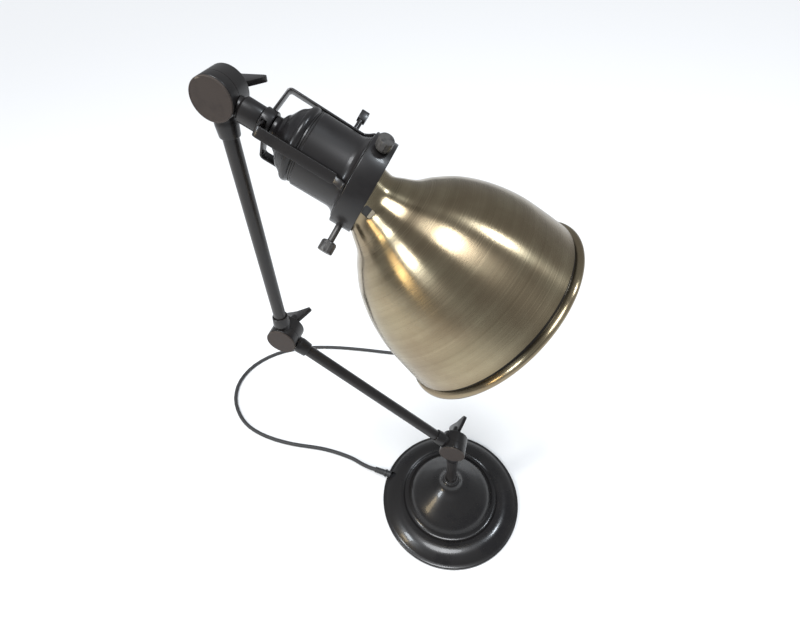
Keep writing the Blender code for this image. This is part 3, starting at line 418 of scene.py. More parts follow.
def make_brass():
    made = bpy.data.materials.new("brushed brass")
    made.use_nodes = True
    tree = made.node_tree
    link = tree.links.new
    shader = tree.nodes["Principled BSDF"]
    shader.inputs["Metallic"].default_value = 1.0
    shader.inputs["Anisotropic"].default_value = 0.88
    shader.inputs["Anisotropic Rotation"].default_value = 0.25
    place = node(tree, "ShaderNodeTexCoord").outputs["Object"]
    own = node(tree, "ShaderNodeMapping", vector_type="TEXTURE")
    own.inputs["Location"].default_value = SHADE.translation
    own.inputs["Rotation"].default_value = SHADE.to_euler()
    parts = node(tree, "ShaderNodeSeparateXYZ")
    flat = node(tree, "ShaderNodeVectorMath", operation="MULTIPLY")
    flat.inputs[1].default_value = (1, 1, 0)
    reach = node(tree, "ShaderNodeVectorMath", operation="LENGTH")
    line = node(tree, "ShaderNodeCombineXYZ")
    link(place, own.inputs["Vector"])
    link(own.outputs["Vector"], parts.inputs["Vector"])
    link(own.outputs["Vector"], flat.inputs[0])
    link(flat.outputs["Vector"], reach.inputs[0])
    link(reach.outputs["Value"], line.inputs["X"])
    link(parts.outputs["Z"], line.inputs["Z"])
    brushing = node(tree, "ShaderNodeTexNoise", Scale=1500.0, Detail=4.0, Roughness=0.75)
    bands = node(tree, "ShaderNodeTexNoise", Scale=130.0, Detail=5.0, Roughness=0.7)
    link(line.outputs["Vector"], brushing.inputs["Vector"])
    link(line.outputs["Vector"], bands.inputs["Vector"])
    smudge = node(tree, "ShaderNodeGroup", node_tree=MARKS)
    smudge.inputs["Scale"].default_value = 26.0
    smudge.inputs["Cover"].default_value = 0.42
    link(place, smudge.inputs["Vector"])
    tone = node(tree, "ShaderNodeMix", data_type="RGBA")
    tone.inputs["A"].default_value = (0.175, 0.140, 0.085, 1)
    tone.inputs["B"].default_value = (0.46, 0.395, 0.265, 1)
    link(bands.outputs["Fac"], tone.inputs["Factor"])
    dull = node(tree, "ShaderNodeMix", data_type="RGBA")
    dull.inputs["B"].default_value = (0.21, 0.150, 0.095, 1)
    fade = node(tree, "ShaderNodeMath", operation="MULTIPLY")
    fade.inputs[1].default_value = 0.45
    link(smudge.outputs["Mask"], fade.inputs[0])
    link(fade.outputs[0], dull.inputs["Factor"])
    link(tone.outputs["Result"], dull.inputs["A"])
    link(dull.outputs["Result"], shader.inputs["Base Color"])
    rough = node(tree, "ShaderNodeMapRange")
    rough.inputs["From Min"].default_value = 0.3
    rough.inputs["From Max"].default_value = 0.7
    rough.inputs["To Min"].default_value = 0.20
    rough.inputs["To Max"].default_value = 0.30
    link(brushing.outputs["Fac"], rough.inputs["Value"])
    link(rough.outputs["Result"], shader.inputs["Roughness"])
    lift = node(tree, "ShaderNodeBump", Strength=0.35, Distance=0.02 * MM)
    link(brushing.outputs["Fac"], lift.inputs["Height"])
    link(lift.outputs["Normal"], shader.inputs["Normal"])
    rings = node(tree, "ShaderNodeTangent", direction_type="UV_MAP", uv_map="rings")
    link(rings.outputs["Tangent"], shader.inputs["Tangent"])
    return made


BRASS = make_brass()

# %% [markdown]
# ## The cord
# The cord is one length of 5 mm rubber lead. It leaves the base through a strain relief, wanders over
# the table in a loose curve, and the rest is wound in two layers of a flat coil, with its plug beside it.
# A curve with a round bevel is a cord's natural form: the line is its middle, so its length is exact.

# %% Cord
CORD_RADIUS = 2.5 * MM
GLAND_ANGLE, GLAND_HEIGHT, GLAND_REACH = 173.7, 6.2 * MM, 18 * MM
BASE_RADIUS = 85 * MM
GLAND = around(GLAND_ANGLE) @ Matrix.Translation((BASE_RADIUS, 0, GLAND_HEIGHT))
GLAND = GLAND @ Matrix.Rotation(math.pi / 2, 4, "Y")
CORD_ROUTE = [
    (-0.1120, 0.0128, 0.0048),
    (-0.1250, 0.0165, 0.0030),
    (-0.1400, 0.0210, 0.0028),
    (-0.1650, 0.0242, 0.0028),
    (-0.1900, 0.0248, 0.0028),
    (-0.2300, 0.0222, 0.0028),
    (-0.2680, 0.0245, 0.0028),
    (-0.3010, 0.0332, 0.0028),
    (-0.3260, 0.0490, 0.0028),
    (-0.3470, 0.0740, 0.0028),
    (-0.3560, 0.1060, 0.0028),
    (-0.3480, 0.1400, 0.0028),
    (-0.3230, 0.1700, 0.0028),
    (-0.2850, 0.1910, 0.0028),
    (-0.2380, 0.2030, 0.0028),
    (-0.1880, 0.2090, 0.0028),
    (-0.1380, 0.2125, 0.0028),
    (-0.0980, 0.2166, 0.0030),
    (-0.0660, 0.2208, 0.0034),
    (-0.0392, 0.2239, 0.0038),
]
COIL_CENTRE = (-0.022, 0.262)
COIL_START, COIL_TURNS, RISER_TURNS = -84, 3.02, 0.194
COIL_OUT, COIL_IN, COIL_LAST = 35.6 * MM, 19.95 * MM, 36.2 * MM
COIL_LOW, COIL_HIGH = 3.8 * MM, 8.95 * MM
CORD_TAIL = [
    (0.0142, 0.2835, 0.0090),
    (0.0142, 0.2890, 0.0088),
    (0.0142, 0.2960, 0.0085),
    (0.0142, 0.3063, 0.0085),
]


def coil_points(per_turn=24):
    """In along the lower layer, up the riser, and out along the upper layer."""
    total = 2 * COIL_TURNS + RISER_TURNS + (84 / 360 - (2 * COIL_TURNS + RISER_TURNS) % 1)
    count = round(total * per_turn)
    found = []
    for i in range(count + 1):
        turn = total * i / count
        if turn < COIL_TURNS:
            radius, height = COIL_OUT + (COIL_IN - COIL_OUT) * turn / COIL_TURNS, COIL_LOW
        else:
            rise = min((turn - COIL_TURNS) / RISER_TURNS, 1)
            ease = rise * rise * (3 - 2 * rise)
            out = max(turn - COIL_TURNS - RISER_TURNS, 0) / (total - COIL_TURNS - RISER_TURNS)
            radius, height = COIL_IN + (COIL_LAST - COIL_IN) * out, COIL_LOW + (COIL_HIGH - COIL_LOW) * ease
        a = math.radians(COIL_START + 360 * turn)
        found.append((COIL_CENTRE[0] + radius * math.cos(a), COIL_CENTRE[1] + radius * math.sin(a), height))
    return found


cord_start = tuple(GLAND @ Vector((0, 0, 0)))
relief_end = tuple(GLAND @ Vector((0, 0, GLAND_REACH)))
cord_line = smooth([cord_start, relief_end, *CORD_ROUTE, *coil_points(), *CORD_TAIL], 3)
cord_length = sum((Vector(b) - Vector(a)).length for a, b in zip(cord_line, cord_line[1:]))
print("cord is", round(cord_length, 3), "m long")

cord_data = bpy.data.curves.new("power_cord", "CURVE")
cord_data.dimensions = "3D"
cord_data.bevel_depth = CORD_RADIUS
cord_data.bevel_resolution = 5
cord_data.use_fill_caps = True
cord_spline = cord_data.splines.new("POLY")
cord_spline.points.add(len(cord_line) - 1)
for point, place in zip(cord_spline.points, cord_line):
    point.co = (*place, 1)
cord_spline.use_smooth = True
power_cord = bpy.data.objects.new("power_cord", cord_data)
bpy.context.scene.collection.objects.link(power_cord)
dressed(power_cord, "base", RUBBER, "cord_rubber", "cord_run", "cord_coil", "cord_tail")

# %% [markdown]
# The strain relief is a tapered rubber sleeve with a collar and ribs, which stop the cord from kinking.

# %% Strain relief
def relief_profile():
    bore, root, tip = CORD_RADIUS + 0.1 * MM, 4.0 * MM, CORD_RADIUS + 1.1 * MM
    points = [(bore, -4.5 * MM), (root, -4.5 * MM), (root, 1.4 * MM), (root + 0.9 * MM, 1.8 * MM)]
    points += [(root + 0.9 * MM, 3.4 * MM), (root, 3.8 * MM)]
    for i in range(5):
        z = (5.2 + 2.4 * i) * MM
        r = root + (tip - root) * (i + 0.5) / 5
        points += [(r, z), (r - 0.45 * MM, z + 0.3 * MM), (r - 0.45 * MM, z + 1.1 * MM), (r, z + 1.4 * MM)]
    return [*points, (tip, GLAND_REACH - 0.5 * MM), (tip - 0.3 * MM, GLAND_REACH), (bore, GLAND_REACH)]


strain_relief = smoothed(placed(turned(relief_profile(), 40, ring=True), "strain_relief", GLAND))
dressed(strain_relief, "base", RUBBER, "cord_rubber", "cord_gland")

# %% [markdown]
# ## Finer copies of the plain solids
# A solid whose shape is right already only needs its edges broken: no real edge is knife sharp, and a
# broken edge is what catches the light. The copy is merged first, because a CAD mesh is loose triangles.

# %% Copies with broken edges
def finer(name, cad_node, material, slot, edge=0.25 * MM, segments=2, angle=30, smoothing=38):
    """A copy of a CAD node with its flat faces joined and its edges broken."""
    source = frame["nodes"][cad_node]
    copy = bpy.data.objects.new(name, source.data.copy())
    bpy.context.scene.collection.objects.link(copy)
    only(copy)
    bpy.ops.object.mode_set(mode="EDIT")
    bpy.ops.mesh.select_all(action="SELECT")
    bpy.ops.mesh.remove_doubles(threshold=1e-6)
    bpy.ops.mesh.dissolve_limited(angle_limit=math.radians(0.6))
    bpy.ops.object.mode_set(mode="OBJECT")
    if edge:
        applied(
            copy, "BEVEL", width=edge, segments=segments, limit_method="ANGLE",
            angle_limit=math.radians(angle), use_clamp_overlap=True, harden_normals=False,
        )
    smoothed(copy, smoothing)
    return dressed(copy, source["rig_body"], material, slot, cad_node)


for cad_node, edge in (("cord_tie", 0.3 * MM), ("cord_plug", 1.2 * MM)):
    finer(f"{cad_node}_moulded", cad_node, RUBBER, "cord_rubber", edge, 3)
for i in (1, 2):
    finer(f"blade_{i}", f"plug_blade_{i}", SHELL_BRASS, "shell_brass", 0.2 * MM)
for joint in ("shoulder", "elbow", "wrist"):
    finer(f"{joint}_bolt_head", f"{joint}_bolt", STEEL, "steel", 0.15 * MM)
    finer(f"{joint}_flat_washer", f"{joint}_washer", STEEL, "steel", 0.15 * MM)
    finer(f"{joint}_wing", f"{joint}_wing_nut", BRONZE, "bronze", 0.7 * MM, 3)
for i in (1, 2, 3):
    finer(f"knurled_screw_{i}", f"thumb_screw_{i}", WORN, "bronze", 0.10 * MM, 1, 25, smoothing=12)
    finer(f"cap_strap_{i}", f"strap_{i}", BRONZE, "bronze", 0.35 * MM)
finer("turn_knob", "switch_knob", BRONZE, "bronze", 0.4 * MM, 3)
finer("turn_bush", "switch_bush", STEEL, "steel", 0.2 * MM)
finer("slotted_collar", "strap_collar", BRONZE, "bronze", 0.1 * MM)
finer("felt_pad", "base_pad", FELT, "felt", 0.2 * MM)
finer("iron_weight", "base_weight", IRON, "cast_iron", 0.6 * MM)
finer("porcelain_holder", "lamp_holder", PORCELAIN, "porcelain", 0.4 * MM)
finer("brass_shell", "screw_shell", SHELL_BRASS, "shell_brass", 0)
finer("brass_contact", "centre_contact", SHELL_BRASS, "shell_brass", 0.2 * MM)
finer("threaded_nipple", "head_nipple", STEEL, "steel", 0.1 * MM)
finer("holding_nut", "stem_nut", STEEL, "steel", 0.2 * MM)
print("finer copies made")

# %% [markdown]
# ## The base
# The cover is a spun steel bell: a small flat top, a cone that sweeps out, a shallow valley, and a broad
# bead above the brim. One profile is turned, out and back along its lining, so the wall has a real thickness.

# %% Base cover
STEM_RADIUS = 6.0 * MM
BASE_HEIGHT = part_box("base_cover")[1][2]
GROOVE_HEIGHT, PAD_TOP = 11.0 * MM, 1.2 * MM
TOP_RADIUS, GROOVE_RADIUS, BEAD_RADIUS = STEM_RADIUS + 3.5 * MM, BASE_RADIUS - 31 * MM, BASE_RADIUS - 22 * MM


def cone_point(out, up):
    radius = TOP_RADIUS + out * (GROOVE_RADIUS - TOP_RADIUS)
    return radius, GROOVE_HEIGHT + up * (BASE_HEIGHT - GROOVE_HEIGHT)


def cover_profile():
    hole = STEM_RADIUS + 0.3 * MM
    shares = [(0.018, 0.985), (0.10, 0.84), (0.315, 0.683), (0.573, 0.476), (0.809, 0.268), (0.951, 0.063)]
    r, z = BEAD_RADIUS, GROOVE_HEIGHT
    bead = [(GROOVE_RADIUS + 2.0 * MM, z + 0.2 * MM), (r - 3.5 * MM, z + 1.7 * MM)]
    bead += [(r + 1.5 * MM, z + 2.2 * MM), (r + 7.5 * MM, z + 0.9 * MM)]
    bead += [(r + 13.5 * MM, z - 2.2 * MM), (r + 18.0 * MM, z - 5.4 * MM)]
    sweep = smooth([*[cone_point(*share) for share in shares], *bead], 8)
    top = [(hole, BASE_HEIGHT - 0.2 * MM), (hole + 0.2 * MM, BASE_HEIGHT)]
    top.append((TOP_RADIUS, BASE_HEIGHT - 0.05 * MM))
    lip = arc((BASE_RADIUS - 1.5 * MM, 3.3 * MM), 1.5 * MM, 80, 0, 6)
    low = [(BASE_RADIUS, PAD_TOP + 0.2 * MM), (BASE_RADIUS - 0.2 * MM, PAD_TOP)]
    inside = [(BASE_RADIUS - 1.7 * MM, PAD_TOP), (BASE_RADIUS - 1.9 * MM, 2.8 * MM)]
    inside += [(BEAD_RADIUS + 3 * MM, 9.3 * MM), (GROOVE_RADIUS + 0.6 * MM, 9.3 * MM)]
    inner_shares = [(0.924, 0.015), (0.771, 0.239), (0.56, 0.424), (0.288, 0.639), (0.072, 0.8)]
    inside += [cone_point(*share) for share in inner_shares]
    inside += [(TOP_RADIUS - 0.5 * MM, BASE_HEIGHT - 1.4 * MM), (hole, BASE_HEIGHT - 1.4 * MM)]
    return [*top, *sweep, *lip, *low, *inside]


base_bell = placed(turned(cover_profile(), 128, ring=True), "base_bell", Matrix())
gland_hole = placed(turned([(4.3 * MM, -20 * MM), (4.3 * MM, 20 * MM)], 32), "gland_hole", GLAND)
smoothed(cut(base_bell, gland_hole), 28)
dressed(base_bell, "base", BRONZE_GLOSS, "bronze_gloss", "base_cover")

# %% [markdown]
# The stem is a plain tube, and a small flared ring covers the hole that it stands in.

# %% Stem and its ring
def open_tube(name, radius, wall, low, high, place):
    edge = 0.2 * MM
    profile = [(radius - wall, low), (radius - edge, low), (radius, low + edge), (radius, high - edge)]
    profile += [(radius - edge, high), (radius - wall, high)]
    return smoothed(placed(turned(profile, 64, ring=True), name, place))


TUBE_RADIUS, TUBE_WALL = 5.4 * MM, 1.0 * MM
stem_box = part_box("stem_tube")
stem_pipe = open_tube("stem_pipe", STEM_RADIUS, TUBE_WALL, stem_box[0][2], stem_box[1][2], Matrix())
dressed(stem_pipe, "stem", BRONZE, "bronze", "stem_tube")
ring_low, ring_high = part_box("stem_collar")[0][2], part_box("stem_collar")[1][2]
ring_profile = [(STEM_RADIUS + 0.3 * MM, ring_low), (8.8 * MM, ring_low)]
ring_profile += arc((8.2 * MM, ring_low + 1.0 * MM), 1.0 * MM, -60, 80, 8)
waist = [(7.9 * MM, ring_low + 2.3 * MM), (7.4 * MM, ring_low + 3.2 * MM), (7.2 * MM, ring_high)]
ring_profile += smooth(waist, 4)
ring_profile += [(STEM_RADIUS + 0.3 * MM, ring_high)]
stem_ring = smoothed(placed(turned(ring_profile, 64, ring=True), "stem_ring", Matrix()))
dressed(stem_ring, "stem", BRONZE_GLOSS, "bronze_gloss", "stem_collar")

# %% [markdown]
# ## Knuckles and arms
# Each joint is a half-lap knuckle: two discs that lie face to face, each with a sleeve for a tube.
# A disc and a sleeve are turned, joined, and the room for the other half's disc is cut away.

# %% Knuckle halves
KNUCKLE_RADIUS, KNUCKLE_ROOM = 13.7 * MM, 14.3 * MM
KNUCKLE_FRONT, KNUCKLE_BACK, CAP_THICKNESS, GAP = 9.6 * MM, 12.4 * MM, 1.3 * MM, 0.3 * MM
BOLT_RADIUS, BOLT_HEAD_RADIUS, BOLT_HEAD_HEIGHT = 2.7 * MM, 5.5 * MM, 2.8 * MM
SLEEVE_LENGTH = 26.0 * MM


def sleeve_profile(near, radius, tip, end):
    start = 5.0 * MM
    points = [(near, start), (near, KNUCKLE_ROOM + 0.2 * MM)]
    points.append((near + 0.15 * (radius - near), KNUCKLE_ROOM + 0.7 * MM))
    points += [(radius, KNUCKLE_ROOM + 2.0 * MM), (radius, KNUCKLE_ROOM + 3.6 * MM)]
    return [*points, (tip, end - 0.9 * MM), (tip - 0.2 * MM, end - 0.3 * MM), (tip - 0.6 * MM, end)]


def knuckle(name, place, side, sleeve, end, bore):
    """One half: a disc on one side of the middle plane and a sleeve centred on it."""
    depth = KNUCKLE_FRONT - CAP_THICKNESS - GAP if side > 0 else KNUCKLE_BACK
    across, edge = place @ facing(side), 0.8 * MM
    rim = arc((KNUCKLE_RADIUS - edge, depth - edge), edge, 0, 90, 4)
    half = placed(turned([(KNUCKLE_RADIUS, -1 * MM), *rim], 80), name, across)
    cut(half, placed(turned(sleeve, 56), "sleeve", place @ around(360 / 96)), "UNION")
    cut(half, placed(turned([(KNUCKLE_ROOM, GAP / 2), (KNUCKLE_ROOM, -30 * MM)][::-1], 88), "room", across))
    hole = [(BOLT_RADIUS + 0.3 * MM, -30 * MM), (BOLT_RADIUS + 0.3 * MM, 30 * MM)]
    cut(half, placed(turned(hole, 40), "hole", across))
    bore_profile = [(bore + 0.3 * MM, KNUCKLE_ROOM + 1.0 * MM), (bore + 0.3 * MM, end + 10 * MM)]
    cut(half, placed(turned(bore_profile, 48), "bore", place))
    if side > 0:
        seat_radius = BOLT_HEAD_RADIUS + 0.3 * MM
        seat = [(seat_radius, depth - BOLT_HEAD_HEIGHT), (seat_radius, 30 * MM)]
        cut(half, placed(turned(seat, 48), "seat", across))
    return smoothed(half, 30)


arm_sleeve = sleeve_profile(7.1 * MM, 7.5 * MM, 6.9 * MM, SLEEVE_LENGTH)
stem_sleeve = sleeve_profile(6.7 * MM, 8.1 * MM, 7.5 * MM, SLEEVE_LENGTH)
HEAD_SLEEVE_END, NIPPLE_RADIUS = 28.3 * MM, 4.8 * MM
head_sleeve = sleeve_profile(6.7 * MM, 8.5 * MM, 8.5 * MM, HEAD_SLEEVE_END)
LOWER_FOOT, LOWER_TOP = arm_frame(SHOULDER, LOWER_ANGLE), arm_frame(ELBOW, LOWER_ANGLE + 180)
UPPER_FOOT, UPPER_TOP = arm_frame(ELBOW, UPPER_ANGLE), arm_frame(WRIST, UPPER_ANGLE + 180)
arm_end = (arm_sleeve, SLEEVE_LENGTH, TUBE_RADIUS)
HALVES = [
    ("stem_half", "stem", arm_frame(SHOULDER, -90), 1, stem_sleeve, SLEEVE_LENGTH, STEM_RADIUS),
    ("lower_arm_near_half", "lower_arm", LOWER_FOOT, -1, *arm_end),
    ("lower_arm_far_half", "lower_arm", LOWER_TOP, -1, *arm_end),
    ("upper_arm_near_half", "upper_arm", UPPER_FOOT, 1, *arm_end),
    ("upper_arm_far_half", "upper_arm", UPPER_TOP, 1, *arm_end),
    ("head_half", "head", HEAD, -1, head_sleeve, HEAD_SLEEVE_END, NIPPLE_RADIUS),
]
for cad_node, body, place, side, sleeve, end, bore in HALVES:
    piece = knuckle(f"{cad_node}_knuckle", place, side, sleeve, end, bore)
    dressed(piece, body, BRONZE, "bronze", cad_node)
print(len(HALVES), "knuckle halves")

# %% Arms and caps
arm_length = (ELBOW - SHOULDER).length
tube_start = KNUCKLE_ROOM + 1.3 * MM
for body, place in (("lower_arm", LOWER_FOOT), ("upper_arm", UPPER_FOOT)):
    pipe = open_tube(f"{body}_pipe", TUBE_RADIUS, TUBE_WALL, tube_start, arm_length - tube_start, place)
    dressed(pipe, body, BRONZE, "bronze", f"{body}_tube")


def cap_profile():
    """A flat disc whose face has a fine bevel and a shallow turned recess."""
    low, face, r = KNUCKLE_FRONT - CAP_THICKNESS, KNUCKLE_FRONT, KNUCKLE_RADIUS
    return [
        (r - 0.1 * MM, low),
        (r, low + 0.1 * MM),
        (r, face - 0.5 * MM),
        (r - 0.12 * MM, face - 0.2 * MM),
        (r - 0.5 * MM, face),
        (r - 0.9 * MM, face),
        (r - 1.1 * MM, face - 0.12 * MM),
    ]


for joint, body, place in (
    ("shoulder", "stem", arm_frame(SHOULDER, -90)),
    ("elbow", "upper_arm", arm_frame(ELBOW, LOWER_ANGLE)),
    ("wrist", "upper_arm", arm_frame(WRIST, UPPER_ANGLE)),
):
    cap = smoothed(placed(turned(cap_profile(), 80), f"{joint}_face", place @ facing(1)), 25)
    dressed(cap, body, CAP_BRONZE, "bronze", f"{joint}_cap")

# %% [markdown]
# ## The head
# The housing is a domed cap with a fat bead, and a can that flares into the ring that holds the shade.

# %% Housing
NECK_START, DOME_START, CAP_END = 36.3 * MM, 39.2 * MM, 58.3 * MM
NECK_RADIUS, HEAD_BEAD, CAN_RADIUS = 8.0 * MM, 24.6 * MM, 24.1 * MM
FLARE_RADIUS, RING_RADIUS = 28.2 * MM, 31.3 * MM
CAN_START, CAN_END, RING_START, RING_END = (z * MM for z in (58.6, 91.4, 91.7, 106.7))


def housing_cap_profile():
    z, r = DOME_START, HEAD_BEAD
    dome = [(NECK_RADIUS, z - 0.8 * MM), (NECK_RADIUS + 0.9 * MM, z + 0.5 * MM)]
    dome += [(NECK_RADIUS + 3.6 * MM, z + 2.2 * MM), (NECK_RADIUS + 5.4 * MM, z + 4.2 * MM)]
    dome += [(r - 6.0 * MM, z + 7.7 * MM), (r - 4.0 * MM, z + 10.4 * MM)]
    bead = arc((r - 3.0 * MM, CAP_END - 3.6 * MM), 3.0 * MM, -75, 60, 18)
    outer = [(NECK_RADIUS - 0.3 * MM, NECK_START), (NECK_RADIUS, NECK_START + 0.3 * MM)]
    outer += [*smooth(dome, 6), *bead]
    outer += [(CAN_RADIUS - 0.8 * MM, CAP_END - 0.4 * MM), (CAN_RADIUS - 0.8 * MM, CAP_END)]
    lining = [(22.3 * MM, CAP_END), (22.3 * MM, CAP_END - 4 * MM)]
    lining += [(19.0 * MM, z + 10.3 * MM), (12.2 * MM, z + 4.5 * MM)]
    lining += [(NECK_RADIUS, z + 2 * MM), (5.1 * MM, z + 2 * MM), (5.1 * MM, NECK_START)]
    return [*outer, *lining]


def can_profile():
    start, end, r = CAN_START, CAN_END, CAN_RADIUS
    neck = r - 0.9 * MM
    bell = [(r, end - 5.5 * MM), (r + 0.6 * MM, end - 3.2 * MM), (r + 2.2 * MM, end - 1.3 * MM)]
    bell = smooth([*bell, (FLARE_RADIUS, end - 0.5 * MM)], 6)
    outer = [(neck, start), (neck, start + 1.0 * MM)]
    outer += [(r - 0.3 * MM, start + 1.4 * MM), (r, start + 1.9 * MM), *bell]
    lining = [(r + 0.4 * MM, end), (r - 1 * MM, end - 3.4 * MM), (r - 1 * MM, start + 3.2 * MM)]
    return [*outer, (FLARE_RADIUS, end), *lining, (neck - 1 * MM, start + 2.4 * MM), (neck - 1 * MM, start)]


def ring_profile_of():
    r, wall = RING_RADIUS, 1.1 * MM
    low, high, hole, bore = RING_START, RING_END, FLARE_RADIUS - 4.5 * MM, r - wall
    outer = [(hole, low), (r - 0.9 * MM, low), *arc((r - 0.8 * MM, low + 0.8 * MM), 0.8 * MM, -80, 0, 5)]
    outer += arc((r - 0.4 * MM, high - 0.4 * MM), 0.4 * MM, 0, 90, 3)
    outer += [(bore + 0.1 * MM, high), (bore, high - 0.1 * MM)]
    return [*outer, (bore, low + wall), (hole, low + wall)]


head_dome = smoothed(placed(turned(housing_cap_profile(), 112, ring=True), "head_dome", HEAD), 30)
dressed(head_dome, "head", BRONZE, "bronze", "housing_cap")
head_can = smoothed(placed(turned(can_profile(), 112, ring=True), "head_can", HEAD), 30)
dressed(head_can, "head", BRONZE, "bronze", "housing_body")
shade_ring = placed(turned(ring_profile_of(), 112, ring=True), "shade_ring", HEAD)
SCREW_ANGLES, SCREW_PLACE = (10, 130, 250), RING_START + 7.5 * MM
for angle in SCREW_ANGLES:
    along_head = Matrix.Translation((0, 0, SCREW_PLACE))
    bore_place = HEAD @ around(angle) @ along_head @ Matrix.Rotation(math.pi / 2, 4, "Y")
    cut(shade_ring, placed(turned([(2.4 * MM, 26 * MM), (2.4 * MM, 36 * MM)], 32), "screw_bore", bore_place))
smoothed(shade_ring, 30)
dressed(shade_ring, "head", BRONZE, "bronze", "gallery_ring")

# %% [markdown]
# ## The shade
# The shade is spun from sheet brass. It has a lip that the screws hold, a neck with slots for warm air,
# a wide bell, a groove, and a rim rolled to a round bead. Its lining is painted, so its inner faces get
# a second material. Its neck's inside, its slots and its groove get the dark bronze enamel as a third,
# which is painted shade, for the shadow inside the neck and in the groove. Its UV map runs round it,
# for the brushing.

# %% Shade
NECK, LIP, RIM, WALL = 21.2 * MM, 22.5 * MM, 75.2 * MM, 1.2 * MM
SHADE_SEAT, SHADE_LENGTH, BEAD, RIM_GROOVE = 6.2 * MM, 118.6 * MM, 2.7 * MM, 1.4 * MM


def shade_profile():
    flare = [(NECK, 0), (NECK + 0.4 * MM, 5.0 * MM)]
    flare += [(NECK + 3.9 * MM, 10.8 * MM), (NECK + 9.6 * MM, 19.2 * MM)]
    flare += [(NECK + 18.5 * MM, 26.8 * MM), (NECK + 29.8 * MM, 39 * MM), (RIM - 14.2 * MM, 56 * MM)]
    flare += [(RIM - 6.7 * MM, 76 * MM), (RIM - 2.6 * MM, 97 * MM), (RIM - 0.2 * MM, SHADE_LENGTH - 5.6 * MM)]
    flare = smooth(flare, 7)
    inside = []
    for i, (r, z) in enumerate(flare):
        before, after = flare[max(i - 1, 0)], flare[min(i + 1, len(flare) - 1)]
        along = Vector((after[0] - before[0], after[1] - before[1])).normalized()
        inside.append((r - along.y * WALL, z + along.x * WALL))
    inside[0] = (NECK - WALL, -SHADE_SEAT)
    inside[-1] = (RIM - RIM_GROOVE - WALL, SHADE_LENGTH - 5.8 * MM)
    inside.append((RIM - RIM_GROOVE - WALL, SHADE_LENGTH - 3.0 * MM))
    edge = [(LIP, -SHADE_SEAT), (LIP, -SHADE_SEAT + 1.2 * MM), (NECK + 0.3 * MM, -SHADE_SEAT + 2.0 * MM)]
    groove = [(RIM - RIM_GROOVE, SHADE_LENGTH - 5.0 * MM), (RIM - RIM_GROOVE, SHADE_LENGTH - 3.0 * MM)]
    bead = arc((RIM, SHADE_LENGTH), BEAD, -70, 190, 20)
    return [*edge, *flare, *groove, *bead, *reversed(inside)]


def mark_parts(obj, lining, painted_shade):
    """The faces that look at the axis are lined; the neck's inside, its slots and the groove get painted
    shade.
    """
    obj.data.materials.append(lining)
    obj.data.materials.append(painted_shade)
    for face in obj.data.polygons:
        middle, out = face.center, face.normal
        radius = math.hypot(middle.x, middle.y)
        outward = (out.x * middle.x + out.y * middle.y) / radius
        if outward < 0 and radius < RIM - RIM_GROOVE and middle.z < SHADE_LENGTH - 2.6 * MM:
            face.material_index = 1
        # Painted shade: the neck's inside and the slot walls take the dark material, for the shadow inside
        # the neck.
        if middle.z < 14 * MM and outward < 0.4:
            face.material_index = 2
        # Painted shade: the groove above the bead takes the dark material, for the shadow in the groove.
        if outward > -0.3 and radius < RIM - 0.5 * MM and middle.z > SHADE_LENGTH - 5.7 * MM:
            face.material_index = 2 if middle.z < SHADE_LENGTH - 2.4 * MM else face.material_index


def map_rings(obj):
    """A UV map with U round the piece and V along its axis, made before it is put in place."""
    layer = obj.data.uv_layers.new(name="rings")
    for face in obj.data.polygons:
        corners = [obj.data.vertices[obj.data.loops[i].vertex_index].co for i in face.loop_indices]
        turns = [math.atan2(c.y, c.x) / (2 * math.pi) for c in corners]
        wrap = max(turns) - min(turns) > 0.5
        for i, turn, corner in zip(face.loop_indices, turns, corners):
            along = 4 * (corner.z + math.hypot(corner.x, corner.y))
            layer.data[i].uv = (turn + 1 if wrap and turn < 0 else turn, along)


shade_bell = turned(shade_profile(), 176, ring=True)
VENT_LENGTH, VENT_WIDTH, VENT_START, VENT_CORNER = 7.4 * MM, 6.2 * MM, -0.6 * MM, 1.4 * MM
for angle in (70, 190, 310):
    bpy.ops.object.select_all(action="DESELECT")
    bpy.ops.mesh.primitive_cube_add(size=1, location=(0, 0, 0))
    slot_cutter = bpy.context.object
    slot_cutter.scale = (15 * MM, VENT_WIDTH, VENT_LENGTH)
    bpy.ops.object.transform_apply(location=False, rotation=False, scale=True)
    applied(slot_cutter, "BEVEL", width=VENT_CORNER, segments=4, limit_method="NONE", affect="EDGES")
    middle = Matrix.Translation((NECK + 1.5 * MM, 0, VENT_START + VENT_LENGTH / 2))
    cut(shade_bell, placed(slot_cutter, "slot_cutter", around(angle) @ middle))
map_rings(shade_bell)
smoothed(shade_bell, 30)
dressed(shade_bell, "head", BRASS, "antique_brass", "shade")
# The dark bronze on the neck's inside, its slots and its groove is painted shade.
mark_parts(shade_bell, LINING, BRONZE)
only(shade_bell)
shade_bell.parent = None
placed(shade_bell, "shade_bell", SHADE)
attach(shade_bell, "head")
print("shade has", len(shade_bell.data.polygons), "faces")

# %% [markdown]
# ## Floor and light
# The floor is plain and pale. A wide sun from nearly overhead lights it evenly, and the world fills in
# dimly, so the enamel stays dark. Small cool lamps to the right and left, and a warm one low on the left,
# each give the enamel a spot and the brushed brass one streak from neck to rim.

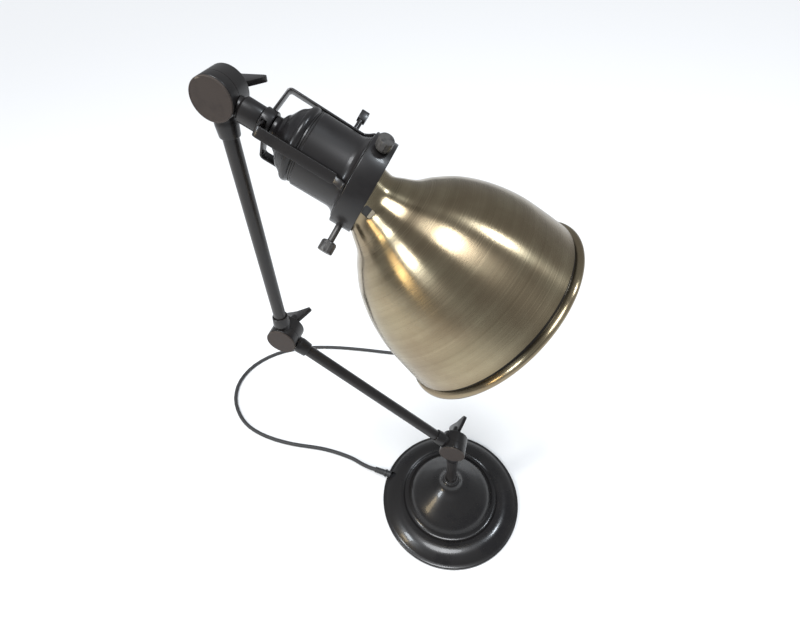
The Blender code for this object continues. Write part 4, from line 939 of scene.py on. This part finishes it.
# %% Floor
FLOOR = bpy.data.materials.new("pale floor")
FLOOR.use_nodes = True
FLOOR.node_tree.nodes["Principled BSDF"].inputs["Base Color"].default_value = (0.86, 0.86, 0.86, 1)
FLOOR.node_tree.nodes["Principled BSDF"].inputs["Roughness"].default_value = 0.9
bpy.ops.object.select_all(action="DESELECT")
bpy.ops.mesh.primitive_plane_add(size=12, location=(0, 0, -0.1 * MM))
floor = bpy.context.object
floor.name = "floor"
floor.data.materials.append(FLOOR)


# %% Lights
def soft_light(name, place, target, size, power, colour=(1, 1, 1)):
    data = bpy.data.lights.new(name, "AREA")
    data.shape = "RECTANGLE"
    data.size, data.size_y = size
    data.energy = power
    data.color = colour
    lamp = bpy.data.objects.new(name, data)
    lamp.location = place
    lamp.rotation_euler = (Vector(target) - Vector(place)).to_track_quat("-Z", "Y").to_euler()
    bpy.context.scene.collection.objects.link(lamp)


SHADE_MIDDLE = Vector((0.01, -0.03, 0.40))
COOL, WARM = (0.86, 0.93, 1.0), (1.0, 0.78, 0.45)


def lamp_towards(name, direction, distance, size, power, colour):
    """A small lamp seen from the shade in that direction."""
    place = SHADE_MIDDLE + Vector(direction).normalized() * distance
    soft_light(name, place, SHADE_MIDDLE, (size, size), power, colour)


lamp_towards("right_lamp", (0.53, 0.18, 0.83), 1.6, 0.22, 9, COOL)
lamp_towards("left_lamp", (-0.66, -0.50, 0.56), 1.6, 0.30, 11, COOL)
lamp_towards("warm_lamp", (-0.75, -0.58, 0.30), 1.4, 0.25, 3, WARM)
sun_data = bpy.data.lights.new("overhead", "SUN")
sun_data.energy, sun_data.angle, sun_data.color = 2.3, math.radians(24), (0.95, 0.97, 1.0)
sun = bpy.data.objects.new("overhead", sun_data)
sun.rotation_euler = Vector((-0.02, -0.22, 0.975)).to_track_quat("Z", "Y").to_euler()
bpy.context.scene.collection.objects.link(sun)
world = bpy.data.worlds.new("studio")
world.use_nodes = True
world.node_tree.nodes["Background"].inputs["Color"].default_value = (0.93, 0.96, 1.0, 1)
world.node_tree.nodes["Background"].inputs["Strength"].default_value = 0.38
bpy.context.scene.world = world
bpy.context.scene.view_settings.view_transform = "Standard"
